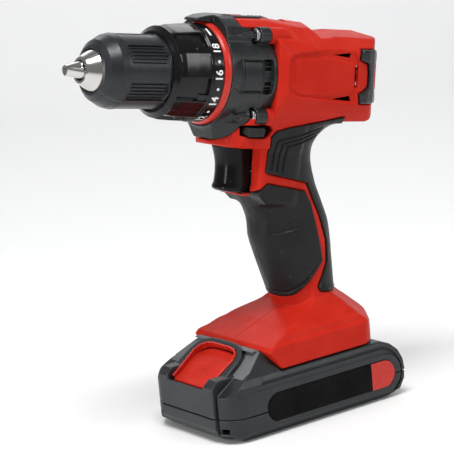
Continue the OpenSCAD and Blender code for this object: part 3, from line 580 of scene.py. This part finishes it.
def with_openings(f, d):
    """The shell field d with its vents and the openings for controls and pack."""
    for h in (-4.4, 0.5, 5.4):
        d = cut(d, keep(span(f.h, h - 1.1, h + 1.1), np.maximum(176 - f.s, f.ay - 5.6)), 0.2)
    for shape in (VENT_UP, VENT_LOW):
        d = cut(d, keep(f.side(shape), 20 - f.ay))
    d = cut(d, keep(np.maximum(span(f.s, 160.5, 161.9), span(f.h, -4.9, 6.7)), 20 - f.ay))
    d = cut(d, trigger_room(f), 0.4)
    d = cut(d, keep(f.side(SELECTOR_HOLE), 15 - f.ay), 0.3)
    d = cut(d, keep(span(f.s, 103.8, 131), np.maximum(f.ay - 6.4, 24 - f.h)), 0.2)
    rail_way = np.maximum(np.maximum(span(f.X, -42, 46.4), f.Z - 36.0), f.ay - 17.2)
    rail_slot = np.maximum(np.maximum(span(f.X, -42, 47), span(f.Z, 34.6, 39.4)), f.ay - 21.2)
    return cut(cut(d, rail_way, 0.2), rail_slot)


def shell(f, right):
    """One hollow half of the red housing; the right one takes the screw heads."""
    form = core(f)
    d = join(form, guard(f), 1.5)
    for h in (-BOSS_H, BOSS_H):
        end = (f.s - 119.9 - 0.52 * (20.4 - np.abs(f.h))) * 0.88
        d = join(d, keep(around(f, h) - BOSS_R, np.maximum(end, BOSS_FRONT - f.s), 0.5), 0.4)
    d = cut(d, keep(f.side(PANEL), 28.7 - f.ay), 0.6)
    d = join(d, keep(f.side(PILLOW) + 0.6, f.ay - 29.5, 1.4), 0.3)
    front = np.maximum(f.s - 111, -21.5 - f.h)
    bosses = np.minimum(around(f, BOSS_H), around(f, -BOSS_H)) - BOSS_R
    bosses = keep(bosses, BOSS_FRONT - f.s)
    d = cut(d, keep(front, -bosses))
    d = join(d, hood(f))
    d = cut(d, keep(keep(gear_case(f) - 0.12, -hood(f)), -bosses))
    for shape in (GRIP_PAD, BACK_PAD):
        d = cut(d, pad_recess(f, form, shape))
    d = cut(d, keep(f.side(BUMPER) - 0.45, -(form + 1.0)))
    d = with_openings(f, keep(d, -interior(f, form)))
    for away in screw_axes(f):
        d = cut(d, np.maximum(away - 1.6, f.ay - 13))
        if right:
            d = cut(d, np.maximum(away - 3.1, 6 - f.ay), 0.3)
    return keep(d, -0.12 - f.y)


SWIRL = [(104, -84.6), (118, -84.4), (123, -84.0), (129, -82.6), (135, -80.6), (141, -78), (150, -74)]
PAD_LINE = [(154.6, -95.4), (145.6, -107.2), (138.4, -114.8), (110, -114.8)]


def grip_pad(f):
    """Side pad of the grip, scooped above the swirl line."""
    form = core(f)
    line = np.interp(f.s, *zip(*SWIRL))
    above = f.h - line
    fade = np.clip((144 - f.s) / 14, 0, 1) * np.clip((f.s - 123) / 6, 0, 1)
    scoop = np.where(above > 0, np.exp(-np.maximum(above, 0) / 7.0), 0) * fade
    edge = 1 / (1 + np.exp(np.clip(-above / 0.35, -30, 30)))
    out = 1.25 - 1.5 * scoop * edge
    d = keep(form - out, f.side(GRIP_PAD) + 0.1, 1.0)
    d = cut(d, keep(track(PAD_LINE, f.s, f.h, 0.45), -(form - out + 0.7)), 0.2)
    d = cut(d, trigger_room(f), 0.2)
    return keep(keep(d, -(form + 0.6)), -0.1 - f.y)


def back_pad(f):
    """Pad over the back and top of the grip, with three grooves."""
    form = core(f)
    d = keep(form - 0.9, f.side(BACK_PAD) + 0.1, 0.8)
    for line in GROOVES:
        d = cut(d, keep(track(line, f.s, f.h, 0.5), -(form - 0.9 + 0.8)), 0.35)
    return keep(keep(d, -(form + 0.6)), -0.1 - f.y)


def bumper(f):
    """Raised I-shaped guard at the rear of the side."""
    form = core(f)
    d = keep(form - 1.5, f.side(BUMPER), 1.2)
    return keep(d, -(form + 0.8))


def pair(names, field, build, mat, slot, body="housing"):
    """The same moulding on the left and right, where only housing screws differ."""
    d = build(field)
    for name, mirror in zip(names, (True, False)):
        dress(solid(name + "_skin", field, d, mirror), mat, body, slot, name)


def make_housing():
    f = Field((75, -1.0, -152.5), (200, 36, 31.6), STEP)
    for name, right in (("left_housing", False), ("right_housing", True)):
        dress(solid(name + "_skin", f, shell(f, right), not right), "red", "housing", "red_shell", name)
    f = Field((98, -1.0, -121), (160, 21, -53), STEP)
    pair(("left_grip_pad", "right_grip_pad"), f, grip_pad, "rubber", "grip_rubber")
    f = Field((111, -1.0, -117), (182, 28, -17), STEP)
    pair(("left_back_pad", "right_back_pad"), f, back_pad, "rubber", "grip_rubber")
    f = Field((160, 17, -16), (185, 33, 18), 0.4)
    pair(("left_rear_bumper", "right_rear_bumper"), f, bumper, "grey", "grey_shell")
    f = Field((70.5, -33, -36), (112, 33, 32.6), 0.45)
    dress(solid("gear_housing_skin", f, gear_housing(f)), "grey", "housing", "grey_shell", "gear_housing")


TRIGGER_FRONT = [(-61.4, 97.6), (-59.6, 95.4), (-56.5, 96.2), (-52.5, 96.6), (-45, 96.2),
                 (-40.5, 94.9), (-37.2, 93.6)]


def trigger(f):
    """Concave front with well rounded corners, flat flanks, open at the back."""
    side = outline([(80, -37.3), (106.8, -37.3), (109.4, -39.6), (110.3, -44), (110.3, -56.8),
                    (108.6, -60.0), (105.5, -61.0), (80, -61.0)], f.s, f.h)
    d = keep(curve(f.h, TRIGGER_FRONT) - f.s, f.ay - 8.9, 8.5)
    d = keep(d, side, 1.0)
    return cut(d, np.maximum(np.maximum(100 - f.s, f.ay - 7.2), span(f.h, -59, -39.2)), 0.3)


def direction_selector(f):
    """Cross bar with a ribbed finger pad at each end."""
    bar = np.maximum(span(f.s, 97.5, 107), span(f.h, -31, -26.4))
    pad = outline([(96.6, -26.6), (98.2, -25.9), (107.2, -25.9), (109.4, -27.3), (108.6, -30.2),
                   (105.8, -31.3), (98.3, -31.0), (96.2, -29.4)], f.s, f.h)
    middle = f.s - 102.5
    face = 21.6 + 0.5 * np.cos(middle * 2 * math.pi / 3.6) * np.clip((5.4 - np.abs(middle)) / 1.5, 0, 1)
    knob = keep(pad, np.maximum(f.ay - face, 17.6 - f.ay), 0.8)
    return keep(join(bar, knob, 0.5), f.ay - 23)


def speed_selector(f):
    """Flat slider in the roof with cross ribs for the thumb."""
    top = 29.85 - 0.16 * f.ay + 0.3 * np.cos(f.s * 2 * math.pi / 2.4) * (np.abs(f.s - 113.6) < 4.6)
    d = keep(span(f.s, 107.8, 119.4), f.ay - 5.9, 1.0)
    return keep(d, np.maximum(f.h - top, 27.4 - f.h), 0.5)


def star(away, angle, size):
    """Six-lobed driver socket."""
    return away - size * (1 + 0.22 * np.cos(6 * angle))


def make_gear_screws():
    """Pan heads seated in the four bosses of the gear housing."""
    f = Field((97, -26, -26), (118, 26, 26), 0.3)
    across, up = f.ay - BOSS_Y, np.abs(f.h) - BOSS_H
    away = np.hypot(across, up)
    head = keep(away - 3.4, span(f.s, 98.7, 101.1), 0.9)
    head = cut(head, np.maximum(star(away, np.arctan2(up, across), 1.5), f.s - 100.1), 0.1)
    d = join(head, keep(away - 1.5, span(f.s, 100.9, 117), 0.3))
    dress(solid("gear_housing_screws_skin", f, d), "screw", "housing", "steel", "gear_housing_screws")


def repeat(name, ob, places):
    """One piece holding a copy of the mesh of ob at each place, in metres."""
    me = ob.data
    v = np.empty((len(me.vertices), 3), np.float32)
    n = np.empty((len(me.vertices), 3), np.float32)
    loops = np.empty(len(me.loops), np.int32)
    sizes = np.empty(len(me.polygons), np.int32)
    me.vertices.foreach_get("co", v.ravel())
    me.vertices.foreach_get("normal", n.ravel())
    me.loops.foreach_get("vertex_index", loops)
    me.polygons.foreach_get("loop_total", sizes)
    start = np.concatenate([[0], np.cumsum(sizes)[:-1]])
    faces = [loops[start[sizes == k][:, None] + np.arange(k)] for k in (3, 4) if (sizes == k).any()]
    verts = np.concatenate([v + np.array(p, np.float32) for p in places])
    faces = [a + k * len(v) for k in range(len(places)) for a in faces]
    bpy.data.objects.remove(ob)
    return mesh_object(name, verts, faces, normals=np.tile(n, (len(places), 1)))


def make_housing_screws():
    """Screws that close the two housings, their heads sunk in the right one."""
    f = Field((-3.6, -13, -3.6), (3.6, 9.2, 3.6), 0.25, nose=False)
    away = np.hypot(f.X, f.Z)
    head = keep(away - 2.85, span(f.y, 6.05, 8.4), 0.8)
    head = cut(head, np.maximum(star(away, np.arctan2(f.Z, f.X), 1.2), 7.2 - f.y), 0.1)
    d = join(head, keep(away - 1.5, span(f.y, -12, 6.3), 0.3))
    places = [nose_to_world(np.array([[s, 0, h]]))[0] * MM for s, h in SCREWS]
    places += [np.array([x, 0, z]) * MM for x, z in FOOT_SCREWS]
    piece = repeat("housing_screws_skin", solid("screw_master", f, d), places)
    dress(piece, "screw", "housing", "steel", "housing_screws")


def make_controls():
    f = Field((88, -10.5, -63), (112, 10.5, -36), 0.4)
    dress(solid("trigger_skin", f, trigger(f)), "trigger", "trigger_body", "black_gloss", "trigger")
    f = Field((94, -25, -33), (111, 25, -24), 0.4)
    dress(solid("direction_selector_skin", f, direction_selector(f)), "matte", "direction_slider",
          "black_gloss", "direction_selector")
    f = Field((106, -7.5, 26), (121, 7.5, 32.5), 0.35)
    dress(solid("speed_selector_skin", f, speed_selector(f)), "matte", "speed_slider", "black_matte",
          "speed_selector")


make_housing()
make_controls()
make_gear_screws()
make_housing_screws()


# ---------------------------------------------------------------- turned pieces
def sector(angle):
    """Angle from the start of the nearest of the six lands, in degrees."""
    return (np.degrees(angle) + 180) % 60


COLLAR = [(51, 19.6), (51, 20.6), (52.2, 21.9), (53.2, 23.2), (57, 24.1), (64, 24.6), (71.6, 24.9),
          (72.2, 24.75), (72.6, 25.1), (78.2, 25.2), (78.5, 24.9), (78.5, 21.3), (60.2, 21.3),
          (60.2, 16.4), (56.8, 16.4), (56.8, 19.6)]


def collar_wave(s, r, a):
    """Raised lands with sunk panels between them, each panel with a small step at its rear."""
    part = sector(a)
    ramp = 0.9
    rise = np.clip((part - 27) / ramp, 0, 1)
    low = rise * np.clip((57 - part) / ramp, 0, 1)
    along = np.clip((s - 53.4) / 0.5, 0, 1) * np.clip((71.2 - s) / 0.5, 0, 1)
    step = rise * np.clip((36 - part) / ramp, 0, 1) * np.clip((s - 65.3) / 0.4, 0, 1)
    outer = r > 22.5
    flat = 0.5 * np.clip(1 - ((part - 12 + 30) % 60 - 30) ** 2 / 196.0, 0, 1) * along
    return r - np.where(outer, 1.9 * low * along * (1 - 0.55 * step) + flat, 0)


SLEEVE = [(14.8, 11.0), (14.8, 12.2), (15.1, 12.8), (17.2, 15.4), (22.5, 18.3), (26.0, 19.05),
          (52.0, 19.1), (54.6, 18.9), (56.0, 18.3), (56.0, 16.4), (28.0, 16.4), (26.5, 15.0), (15.6, 11.0)]


def sleeve_wave(s, r, a):
    """Smooth lands alternating with sunk panels of fine ribs whose ends come to a point."""
    middle = np.abs(sector(a) - 30)
    reach = np.clip((16.5 - middle) / 0.8, 0, 1)
    front = 25.2 + 0.16 * middle
    rear = 51.5 - 0.12 * middle
    inside = np.clip((s - front) / 0.6, 0, 1) * np.clip((rear - s) / 0.6, 0, 1)
    low = reach * inside
    tooth = np.clip(1.6 - np.abs((middle + 3.0) % 6.0 - 3.0), 0, 1)
    ribs = np.clip((s - front - 3.2 + 0.25 * middle) / 0.8, 0, 1) * np.clip((rear - 1.4 - s) / 0.6, 0, 1)
    ribs = ribs * np.clip((14.6 - middle) / 0.6, 0, 1)
    return r - np.where(r > 18.0, 1.25 * low - 0.95 * tooth * ribs, 0)


TRIM = [(78.8, 24.0), (78.8, 25.2), (79.4, 25.9), (80.5, 26.3), (81.8, 26.5), (82.2, 26.3),
        (82.2, 21.6), (79.6, 21.6)]
# Painted shade: a black band inside the gear housing, behind its front vent and window, so the openings look
# dark.
VENT_SHADE_BAND = [(100.8, 23.5), (100.8, 24.2), (110.6, 24.2), (110.6, 23.5)]


def make_turned():
    collar = turned("collar_skin", COLLAR, 720, collar_wave, 25, 0.45)
    dress(collar, "gloss", "collar", "black_gloss", "torque_collar")
    sleeve = turned("sleeve_skin", SLEEVE, 720, sleeve_wave, 11, 0.4)
    dress(sleeve, "sleeve", "sleeve", "grey_shell", "chuck_sleeve")
    # Painted shade: the black band that darkens the openings of the gear housing.
    shade_band = turned("window_painted_shade", VENT_SHADE_BAND, 240, None, 40)
    dress(shade_band, "plate", "housing", "black_matte")
    trim = turned("trim_skin", TRIM, 360, None, 40)
    dress(trim, "red_gloss", "housing", "red_gloss", "trim_ring")


BAND = 25.14  # radius of the number band
AT_SIDE = 16  # the number that faces the drill's left side
NUMBER_PITCH = 16  # degrees from one number to the next
BAR_ANGLE = 59


def on_band(x, y, angle, s=75.5):
    """Point of a flat drawing placed on the number band: x runs round it, y to the nose."""
    a = math.radians(angle) + x / BAND
    return (s - y, -(BAND + 0.07) * math.cos(a), (BAND + 0.07) * math.sin(a))


def flat_text(text, size):
    """Vertices and faces of a word in the built-in typeface, centred."""
    word = bpy.data.curves.new("t", "FONT")
    word.body, word.size = text, size
    word.align_x, word.align_y = "CENTER", "CENTER"
    word.resolution_u = 3
    word.offset = size * 0.022
    ob = new_object("t", word)
    me = bpy.data.meshes.new_from_object(ob.evaluated_get(bpy.context.evaluated_depsgraph_get()))
    v = np.array([x.co[:2] for x in me.vertices])
    polys = [list(q.vertices) for q in me.polygons]
    bpy.data.objects.remove(ob)
    bpy.data.meshes.remove(me)
    return v, polys


def make_scale():
    """Torque numbers, dots between them and a bar after the last, round the number band."""
    verts, faces = [], []

    def add(points, polys):
        base = len(verts)
        verts.extend(points)
        faces.extend([[base + k for k in q] for q in polys])

    for number in range(2, 19, 2):
        v, polys = flat_text(str(number), 6.0)
        add([on_band(x, y, (number - AT_SIDE) * NUMBER_PITCH) for x, y in v], polys)
    for number in range(1, 19, 2):
        ring = [(0.8 * math.cos(t), 0.8 * math.sin(t)) for t in np.linspace(0, 2 * math.pi, 17)[:-1]]
        add([on_band(x, y, (number - AT_SIDE) * NUMBER_PITCH) for x, y in ring], [list(range(16))])
    bar_cells = 12
    strip = [(x, y) for x in np.linspace(-3.4, 2.4, bar_cells + 1) for y in (-0.6, 0.6)]
    add([on_band(x, y, BAR_ANGLE) for x, y in strip],
        [[2 * k, 2 * k + 2, 2 * k + 3, 2 * k + 1] for k in range(bar_cells)])
    me = bpy.data.meshes.new("collar_numbers")
    me.from_pydata((nose_to_world(np.array(verts)) * MM).tolist(), [], faces)
    me.update()
    dress(new_object("collar_numbers", me), "white", "collar", "black_gloss")


make_turned()
make_scale()

# ---------------------------------------------------------------- springs
def coil(name, start, end, radius, wire, turns):
    """Helical spring of round wire between two points, in mm."""
    start, end = np.array(start, float), np.array(end, float)
    along = (end - start) / np.linalg.norm(end - start)
    side = np.array([0.0, 1.0, 0.0])
    up = np.cross(along, side)
    around_axis = np.linspace(0, 2 * math.pi * turns, 28 * turns + 1)
    out = np.cos(around_axis)[:, None] * side + np.sin(around_axis)[:, None] * up
    middle = start + along * wire + np.linspace(0, 1, len(out))[:, None] * (end - start - 2 * wire * along)
    ring = np.linspace(0, 2 * math.pi, 9)[:-1]
    verts = (middle + radius * out)[:, None] + wire * (
        np.cos(ring)[None, :, None] * out[:, None] + np.sin(ring)[None, :, None] * along)
    i = np.arange(len(out) - 1)[:, None] * 8 + np.arange(8)[None]
    j = np.arange(len(out) - 1)[:, None] * 8 + (np.arange(8)[None] + 1) % 8
    tube = np.stack([i, j, j + 8, i + 8], -1).reshape(-1, 4)
    caps = np.array([np.arange(8)[::-1], 8 * (len(out) - 1) + np.arange(8)])
    return mesh_object(name, verts.reshape(-1, 3) * MM, [tube, caps])


def make_springs():
    """The springs under the trigger and the latch, drawn at one length; each gets a mesh of its own."""
    front, back = nose_to_world(np.array([[100.2, 0, -49.0], [120.8, 0, -49.0]]))
    spring = coil("trigger_spring_wire", back, front, 2.2, 0.35, 7)
    dress(spring, "steel", "housing", "steel", "trigger_spring")
    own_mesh(spring)
    outward = np.array([-math.sin(LATCH), 0, math.cos(LATCH)])
    foot_end = np.array([-46.5, 0, 35.4]) - 12.0 * outward
    spring = coil("latch_spring_wire", foot_end, foot_end + 7.4 * outward, 2.4, 0.35, 5)
    dress(spring, "steel", "battery_pack", "steel", "latch_spring")
    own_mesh(spring)


# ---------------------------------------------------------------- battery pack
PACK_SIDE = [(-48.5, 0), (-54, 2.6), (-59.6, 7.2), (-59.6, 27), (-33.8, 43.6), (-30.6, 43.0), (-28.9, 41.8),
             (-22.6, 32.0), (43.5, 32.0), (49.5, 29.6), (54.3, 25.5), (57.4, 20), (58.5, 14), (57.6, 8.5),
             (54.6, 4.0), (50.5, 1.2), (45, 0)]
PACK_END = [(-9, 0), (31.8, 0), (34.5, 3.2), (35.2, 3.4), (35.2, 28.2), (33.6, 32.0), (24.4, 44.2),
            (20, 50), (-9, 50)]
PACK_PANEL = [(-80, 4.0), (46, 4.0), (51, 5.8), (54.6, 10.2), (55.2, 15), (53.4, 20.4), (49.6, 24),
              (44, 25.4), (-80, 25.4)]
PACK_GROOVE = [(-36, 28.4), (43.5, 28.4), (48, 26.6), (52.2, 22.8), (55, 18), (55.8, 13.5), (54.6, 8.2),
               (51, 4.2), (46, 2.4)]
PACK_FRONT = [(-61, 7.4), (-56.4, 2.0), (-50, 0.0), (-44, 0.0), (-44, 33), (-57.4, 33), (-61, 29.6)]
PACK_SPLIT = 13.2  # height of the joint between the two shells
LATCH = math.radians(33.5)


def pack_plan(f, rf=13.0):
    """Plan of the pack with rounded front corners."""
    qx, qy = np.maximum(-(f.X + 59.6 - rf), 0), np.maximum(f.ay - (36 - rf), 0)
    inner = np.minimum(np.maximum(-(f.X + 59.6 - rf), f.ay - (36 - rf)), 0)
    d = np.hypot(qx, qy) + inner - rf
    return keep(d, f.X - 58.6)


def latch_axes(f):
    """u runs up the slope of the latch, v stands out of it."""
    dx, dz = f.X + 46.5, f.Z - 35.2
    return dx * math.cos(LATCH) + dz * math.sin(LATCH), dz * math.cos(LATCH) - dx * math.sin(LATCH)


ARCH = [(-40, 23.6), (-11.0, 22.4), (6.0, 21.6), (11.0, 20.0), (15.0, 16.0), (16.8, 11.0), (17.2, 6),
        (17.2, -9), (-40, -9)]
BUTTON = [(-14.2, 14.8), (6.0, 16.2), (9.8, 14.6), (11.8, 11.6), (12.6, 7), (12.8, -9), (-14.2, -9)]


def pack_block(f):
    """Side, end and plan outlines of the pack together."""
    d = keep(outline(PACK_SIDE, f.X, f.Z), outline(PACK_END, f.ay, f.Z), 0.8)
    return keep(d, pack_plan(f), 1.0)


def pack_form(f):
    """Outer form without the latch frame."""
    d = pack_block(f)
    band = keep(outline(PACK_PANEL, f.X, f.Z), pack_plan(f), 0.6)
    d = join(d, keep(band, outline([(-9, 3.4), (36, 3.4), (36, 26), (-9, 26)], f.ay, f.Z), 0.4), 0.3)
    return cut(d, keep(track(PACK_GROOVE, f.X, f.Z, 0.55), 34.0 - f.ay), 0.2)


def pack_arch(f):
    """Slab round the latch button, and the latch axes it is drawn in."""
    u, v = latch_axes(f)
    d = keep(outline(ARCH, u, f.ay), np.abs(v + 3.5) - 4.0, 0.8)
    return keep(d, -60.9 - f.X, 0.8), u, v


def pack_front(f):
    """Raised pad on the front of the pack; pack_solid cuts a groove down each side of it."""
    return keep(outline(PACK_FRONT, f.X, f.Z), f.ay - 24.0, 0.6)


def pack_solid(f):
    """Pack with its latch frame, before it is hollowed."""
    arch, u, v = pack_arch(f)
    body = pack_form(f)
    body = join(cut(body, keep(-v - 2.4, 25.0 - f.Z), 0.4), np.minimum(arch, pack_front(f)), 0.5)
    groove = np.maximum(np.abs(f.ay - 24.7) - 0.55, f.X + 57.8)
    body = cut(body, np.maximum(groove, f.Z - 27.5), 0.2)
    body = cut(body, keep(outline(BUTTON, u, f.ay) - 1.5, np.abs(v + 2.5) - 7.5), 0.3)
    hole = np.maximum(np.maximum(span(f.ay, 25.4, 30.5), span(f.Z, 5.6, 8.2)), f.X + 55)
    return cut(body, hole, 0.2)


def make_pack():
    f = Field((-64, -38, -1.5), (61, 38, 48.5), 0.5, nose=False)
    d = pack_solid(f)
    d = cut(d, np.maximum(pack_form(f) + 2.2, latch_axes(f)[1] + 4.8), 0.3)
    rail = np.maximum(np.maximum(span(f.X, -26, 43), span(f.Z, 30, 36)), f.ay - 16.4)
    head = np.maximum(np.maximum(span(f.X, -26, 43), span(f.Z, 35.2, 38.8)), f.ay - 20.4)
    d = join(d, join(rail, head), 0.3)
    for y in (-7, 0, 7):
        d = cut(d, np.maximum(np.maximum(span(f.X, 16, 60), np.abs(f.y - y) - 1.3), span(f.Z, 33.6, 50)))
    label = label_field(f)
    d = cut(d, label - 0.12, 0.1)
    seam = np.abs(f.Z - PACK_SPLIT) - 0.26
    d = cut(d, keep(seam, -(pack_solid(f) + 0.6)), 0.12)
    split = f.Z - PACK_SPLIT
    lower = solid("battery_lower_skin", f, keep(d, split + 0.02))
    upper = solid("battery_upper_skin", f, keep(d, -split + 0.02))
    dress(lower, "pack", "battery_pack", "grey_shell", "battery_lower_shell")
    dress(upper, "pack", "battery_pack", "grey_shell", "battery_upper_shell")


def label_field(f, inset=0.0):
    """Blank obround plate let into each side."""
    x = np.clip(f.X, -27.5, 43.0)
    return keep(np.hypot(f.X - x, f.Z - 14.4) - 7.6 + inset, 35.6 - f.ay)


def make_label():
    f = Field((-40, 34.6, 5.5), (56, 37, 23.5), 0.35, nose=False)
    plate = keep(label_field(f, 0.15), f.ay - 36.05, 0.25)
    red_end = 34.5 - f.X
    black = cut(plate, red_end + 0.15)
    red = keep(plate, red_end)
    for side, mirror in (("left", True), ("right", False)):
        dress(solid("battery_plate_" + side, f, black, mirror), "plate", "battery_pack", "black_gloss")
        dress(solid("battery_plate_end_" + side, f, red, mirror), "red_gloss", "battery_pack", "red_gloss")


def make_shoulders():
    """Grained grey cheeks beside the latch."""
    f = Field((-62, -37, 22), (-26, 37, 47), 0.45, nose=False)
    arch, _, v = pack_arch(f)
    skin = keep(v + 2.1, -(v + 3.6))
    form = pack_block(f)
    cheek = keep(form, skin, 0.2)
    top = keep(form - 0.3, -(form + 1.0), 0.1)
    d = np.minimum(cheek, keep(top, 43.0 - f.Z, 0.2))
    d = keep(cut(d, arch - 0.05), 32.2 - f.Z)
    d = keep(d, f.ay - 31.6)
    dress(solid("battery_shoulders", f, d), "light_grey", "battery_pack", "light_grey_shell")


def make_latch():
    f = Field((-64, -24, 21), (-28, 24, 52), 0.35, nose=False)
    u, v = latch_axes(f)
    rim = keep(outline(BUTTON, u, f.ay) - 1.35, span(v, -3.0, 1.1), 0.5)
    rim = cut(rim, outline(BUTTON, u, f.ay) - 0.25)
    rim = keep(rim, -12.6 - u)
    dress(solid("latch_rim", f, rim), "red_gloss", "battery_pack", "red_gloss")
    dip = 1.9 * np.exp(-((u - 10.5) / 5.0) ** 2) - 0.6 * np.exp(-((u + 14) / 4.0) ** 2)
    face = v + 0.9 + dip
    rows = 0.22 * np.maximum(np.cos(u * 2 * math.pi / 1.7), 0) ** 2 * np.clip((15 - f.ay) / 3, 0, 1)
    rows = rows * np.clip((9 - u) / 2, 0, 1) * np.clip((u + 8) / 1, 0, 1)
    button = keep(outline(BUTTON, u, f.ay) + 0.1, np.maximum(face - rows, -4.2 - v), 0.8)
    dress(solid("latch_button_skin", f, button), "red_grain", "latch", "red_shell", "latch_button")


make_pack()
make_label()
make_shoulders()
make_latch()
make_springs()


# ---------------------------------------------------------------- stage
# the CAD nodes that no piece replaces
NODE_LOOKS = {
    "steel": ["clutch_washer", "spindle", "chuck_nut", "chuck_screw", "motor_shaft", "clutch_spring",
              "motor_can", "clutch_balls"],
    "gear": ["pinion", "planet_gear_1a", "planet_gear_1b", "planet_gear_1c", "ring_gear_1",
             "planet_carrier_1", "planet_gear_2a", "planet_gear_2b", "planet_gear_2c", "ring_gear_2",
             "output_carrier"],
    "screw": ["battery_screws"],
    "brass": ["spindle_bush"],
    "copper": ["commutator", "battery_contacts", "armature"],
    "magnet": ["motor_magnets", "carbon_brushes"],
    "case": ["gearbox_case"],
    "matte": ["motor_end_cap", "cooling_fan", "switch_module", "terminal_block", "cell_holder",
              "clutch_nut"],
    "chrome": ["chuck_body", "chuck_jaw_1", "chuck_jaw_2", "chuck_jaw_3"],
    "cell": ["battery_cells"],
}
for look, names in NODE_LOOKS.items():
    for name in names:
        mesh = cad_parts[name].data
        mesh.materials.clear()
        mesh.materials.append(MATS[look])


def make_floor():
    size, back = 3.0, 1.4
    rows = [(-size, 0.0), (back - 0.4, 0.0)]
    rows += [(back - 0.4 + 0.4 * math.sin(a), 0.4 - 0.4 * math.cos(a))
             for a in np.linspace(0.05, math.pi / 2, 14)]
    rows.append((back, 3.0))
    verts = np.array([(x, y, z) for y, z in rows for x in (-size, size)], float)
    quads = np.array([(2 * k, 2 * k + 1, 2 * k + 3, 2 * k + 2) for k in range(len(rows) - 1)])
    floor = mesh_object("floor", verts, [quads])
    m = bpy.data.materials.new("pale_floor")
    m.use_nodes = True
    put(m.node_tree.nodes["Principled BSDF"], Base_Color=(0.93, 0.93, 0.93, 1), Roughness=0.7)
    floor.data.materials.append(m)
    floor.rotation_euler = (0, 0, math.radians(-35.4))


def make_light(name, where, size, watts, target=(0.0, 0.0, 0.12)):
    data = bpy.data.lights.new(name, "AREA")
    data.shape, data.size, data.size_y, data.energy = "RECTANGLE", size[0], size[1], watts
    ob = new_object(name, data)
    ob.location = where
    ob.rotation_euler = (Vector(target) - Vector(where)).to_track_quat("-Z", "Y").to_euler()


def make_camera():
    data = bpy.data.cameras.new("view")
    data.sensor_width = 36.0
    data.lens = 174.4
    data.clip_start = 0.05
    ob = new_object("view", data)
    eye = Vector((-0.672, -0.910, 0.354))
    forward = Vector((0.565, 0.795, -0.218)).normalized()
    up = Vector((0.199, 0.125, 0.972))
    right = forward.cross(up).normalized()
    up = right.cross(forward)
    turn = Matrix((right, up, -forward)).transposed()
    ob.matrix_world = Matrix.Translation(eye) @ turn.to_4x4()
    bpy.context.scene.camera = ob


make_floor()
make_camera()
make_light("key", (-0.35, -0.35, 1.4), (0.8, 0.5), 17.5)
make_light("side", (-1.6, 0.1, 0.5), (0.35, 0.9), 10)
make_light("fill", (0.9, -1.6, 0.9), (0.6, 0.6), 7.5)
make_light("rim", (0.6, 1.0, 1.0), (0.8, 0.6), 2.2)
world = bpy.data.worlds.new("studio")
world.use_nodes = True
put(world.node_tree.nodes["Background"], Color=(0.9, 0.92, 0.95, 1), Strength=0.26)
bpy.context.scene.world = world
bpy.context.scene.view_settings.view_transform = "Standard"
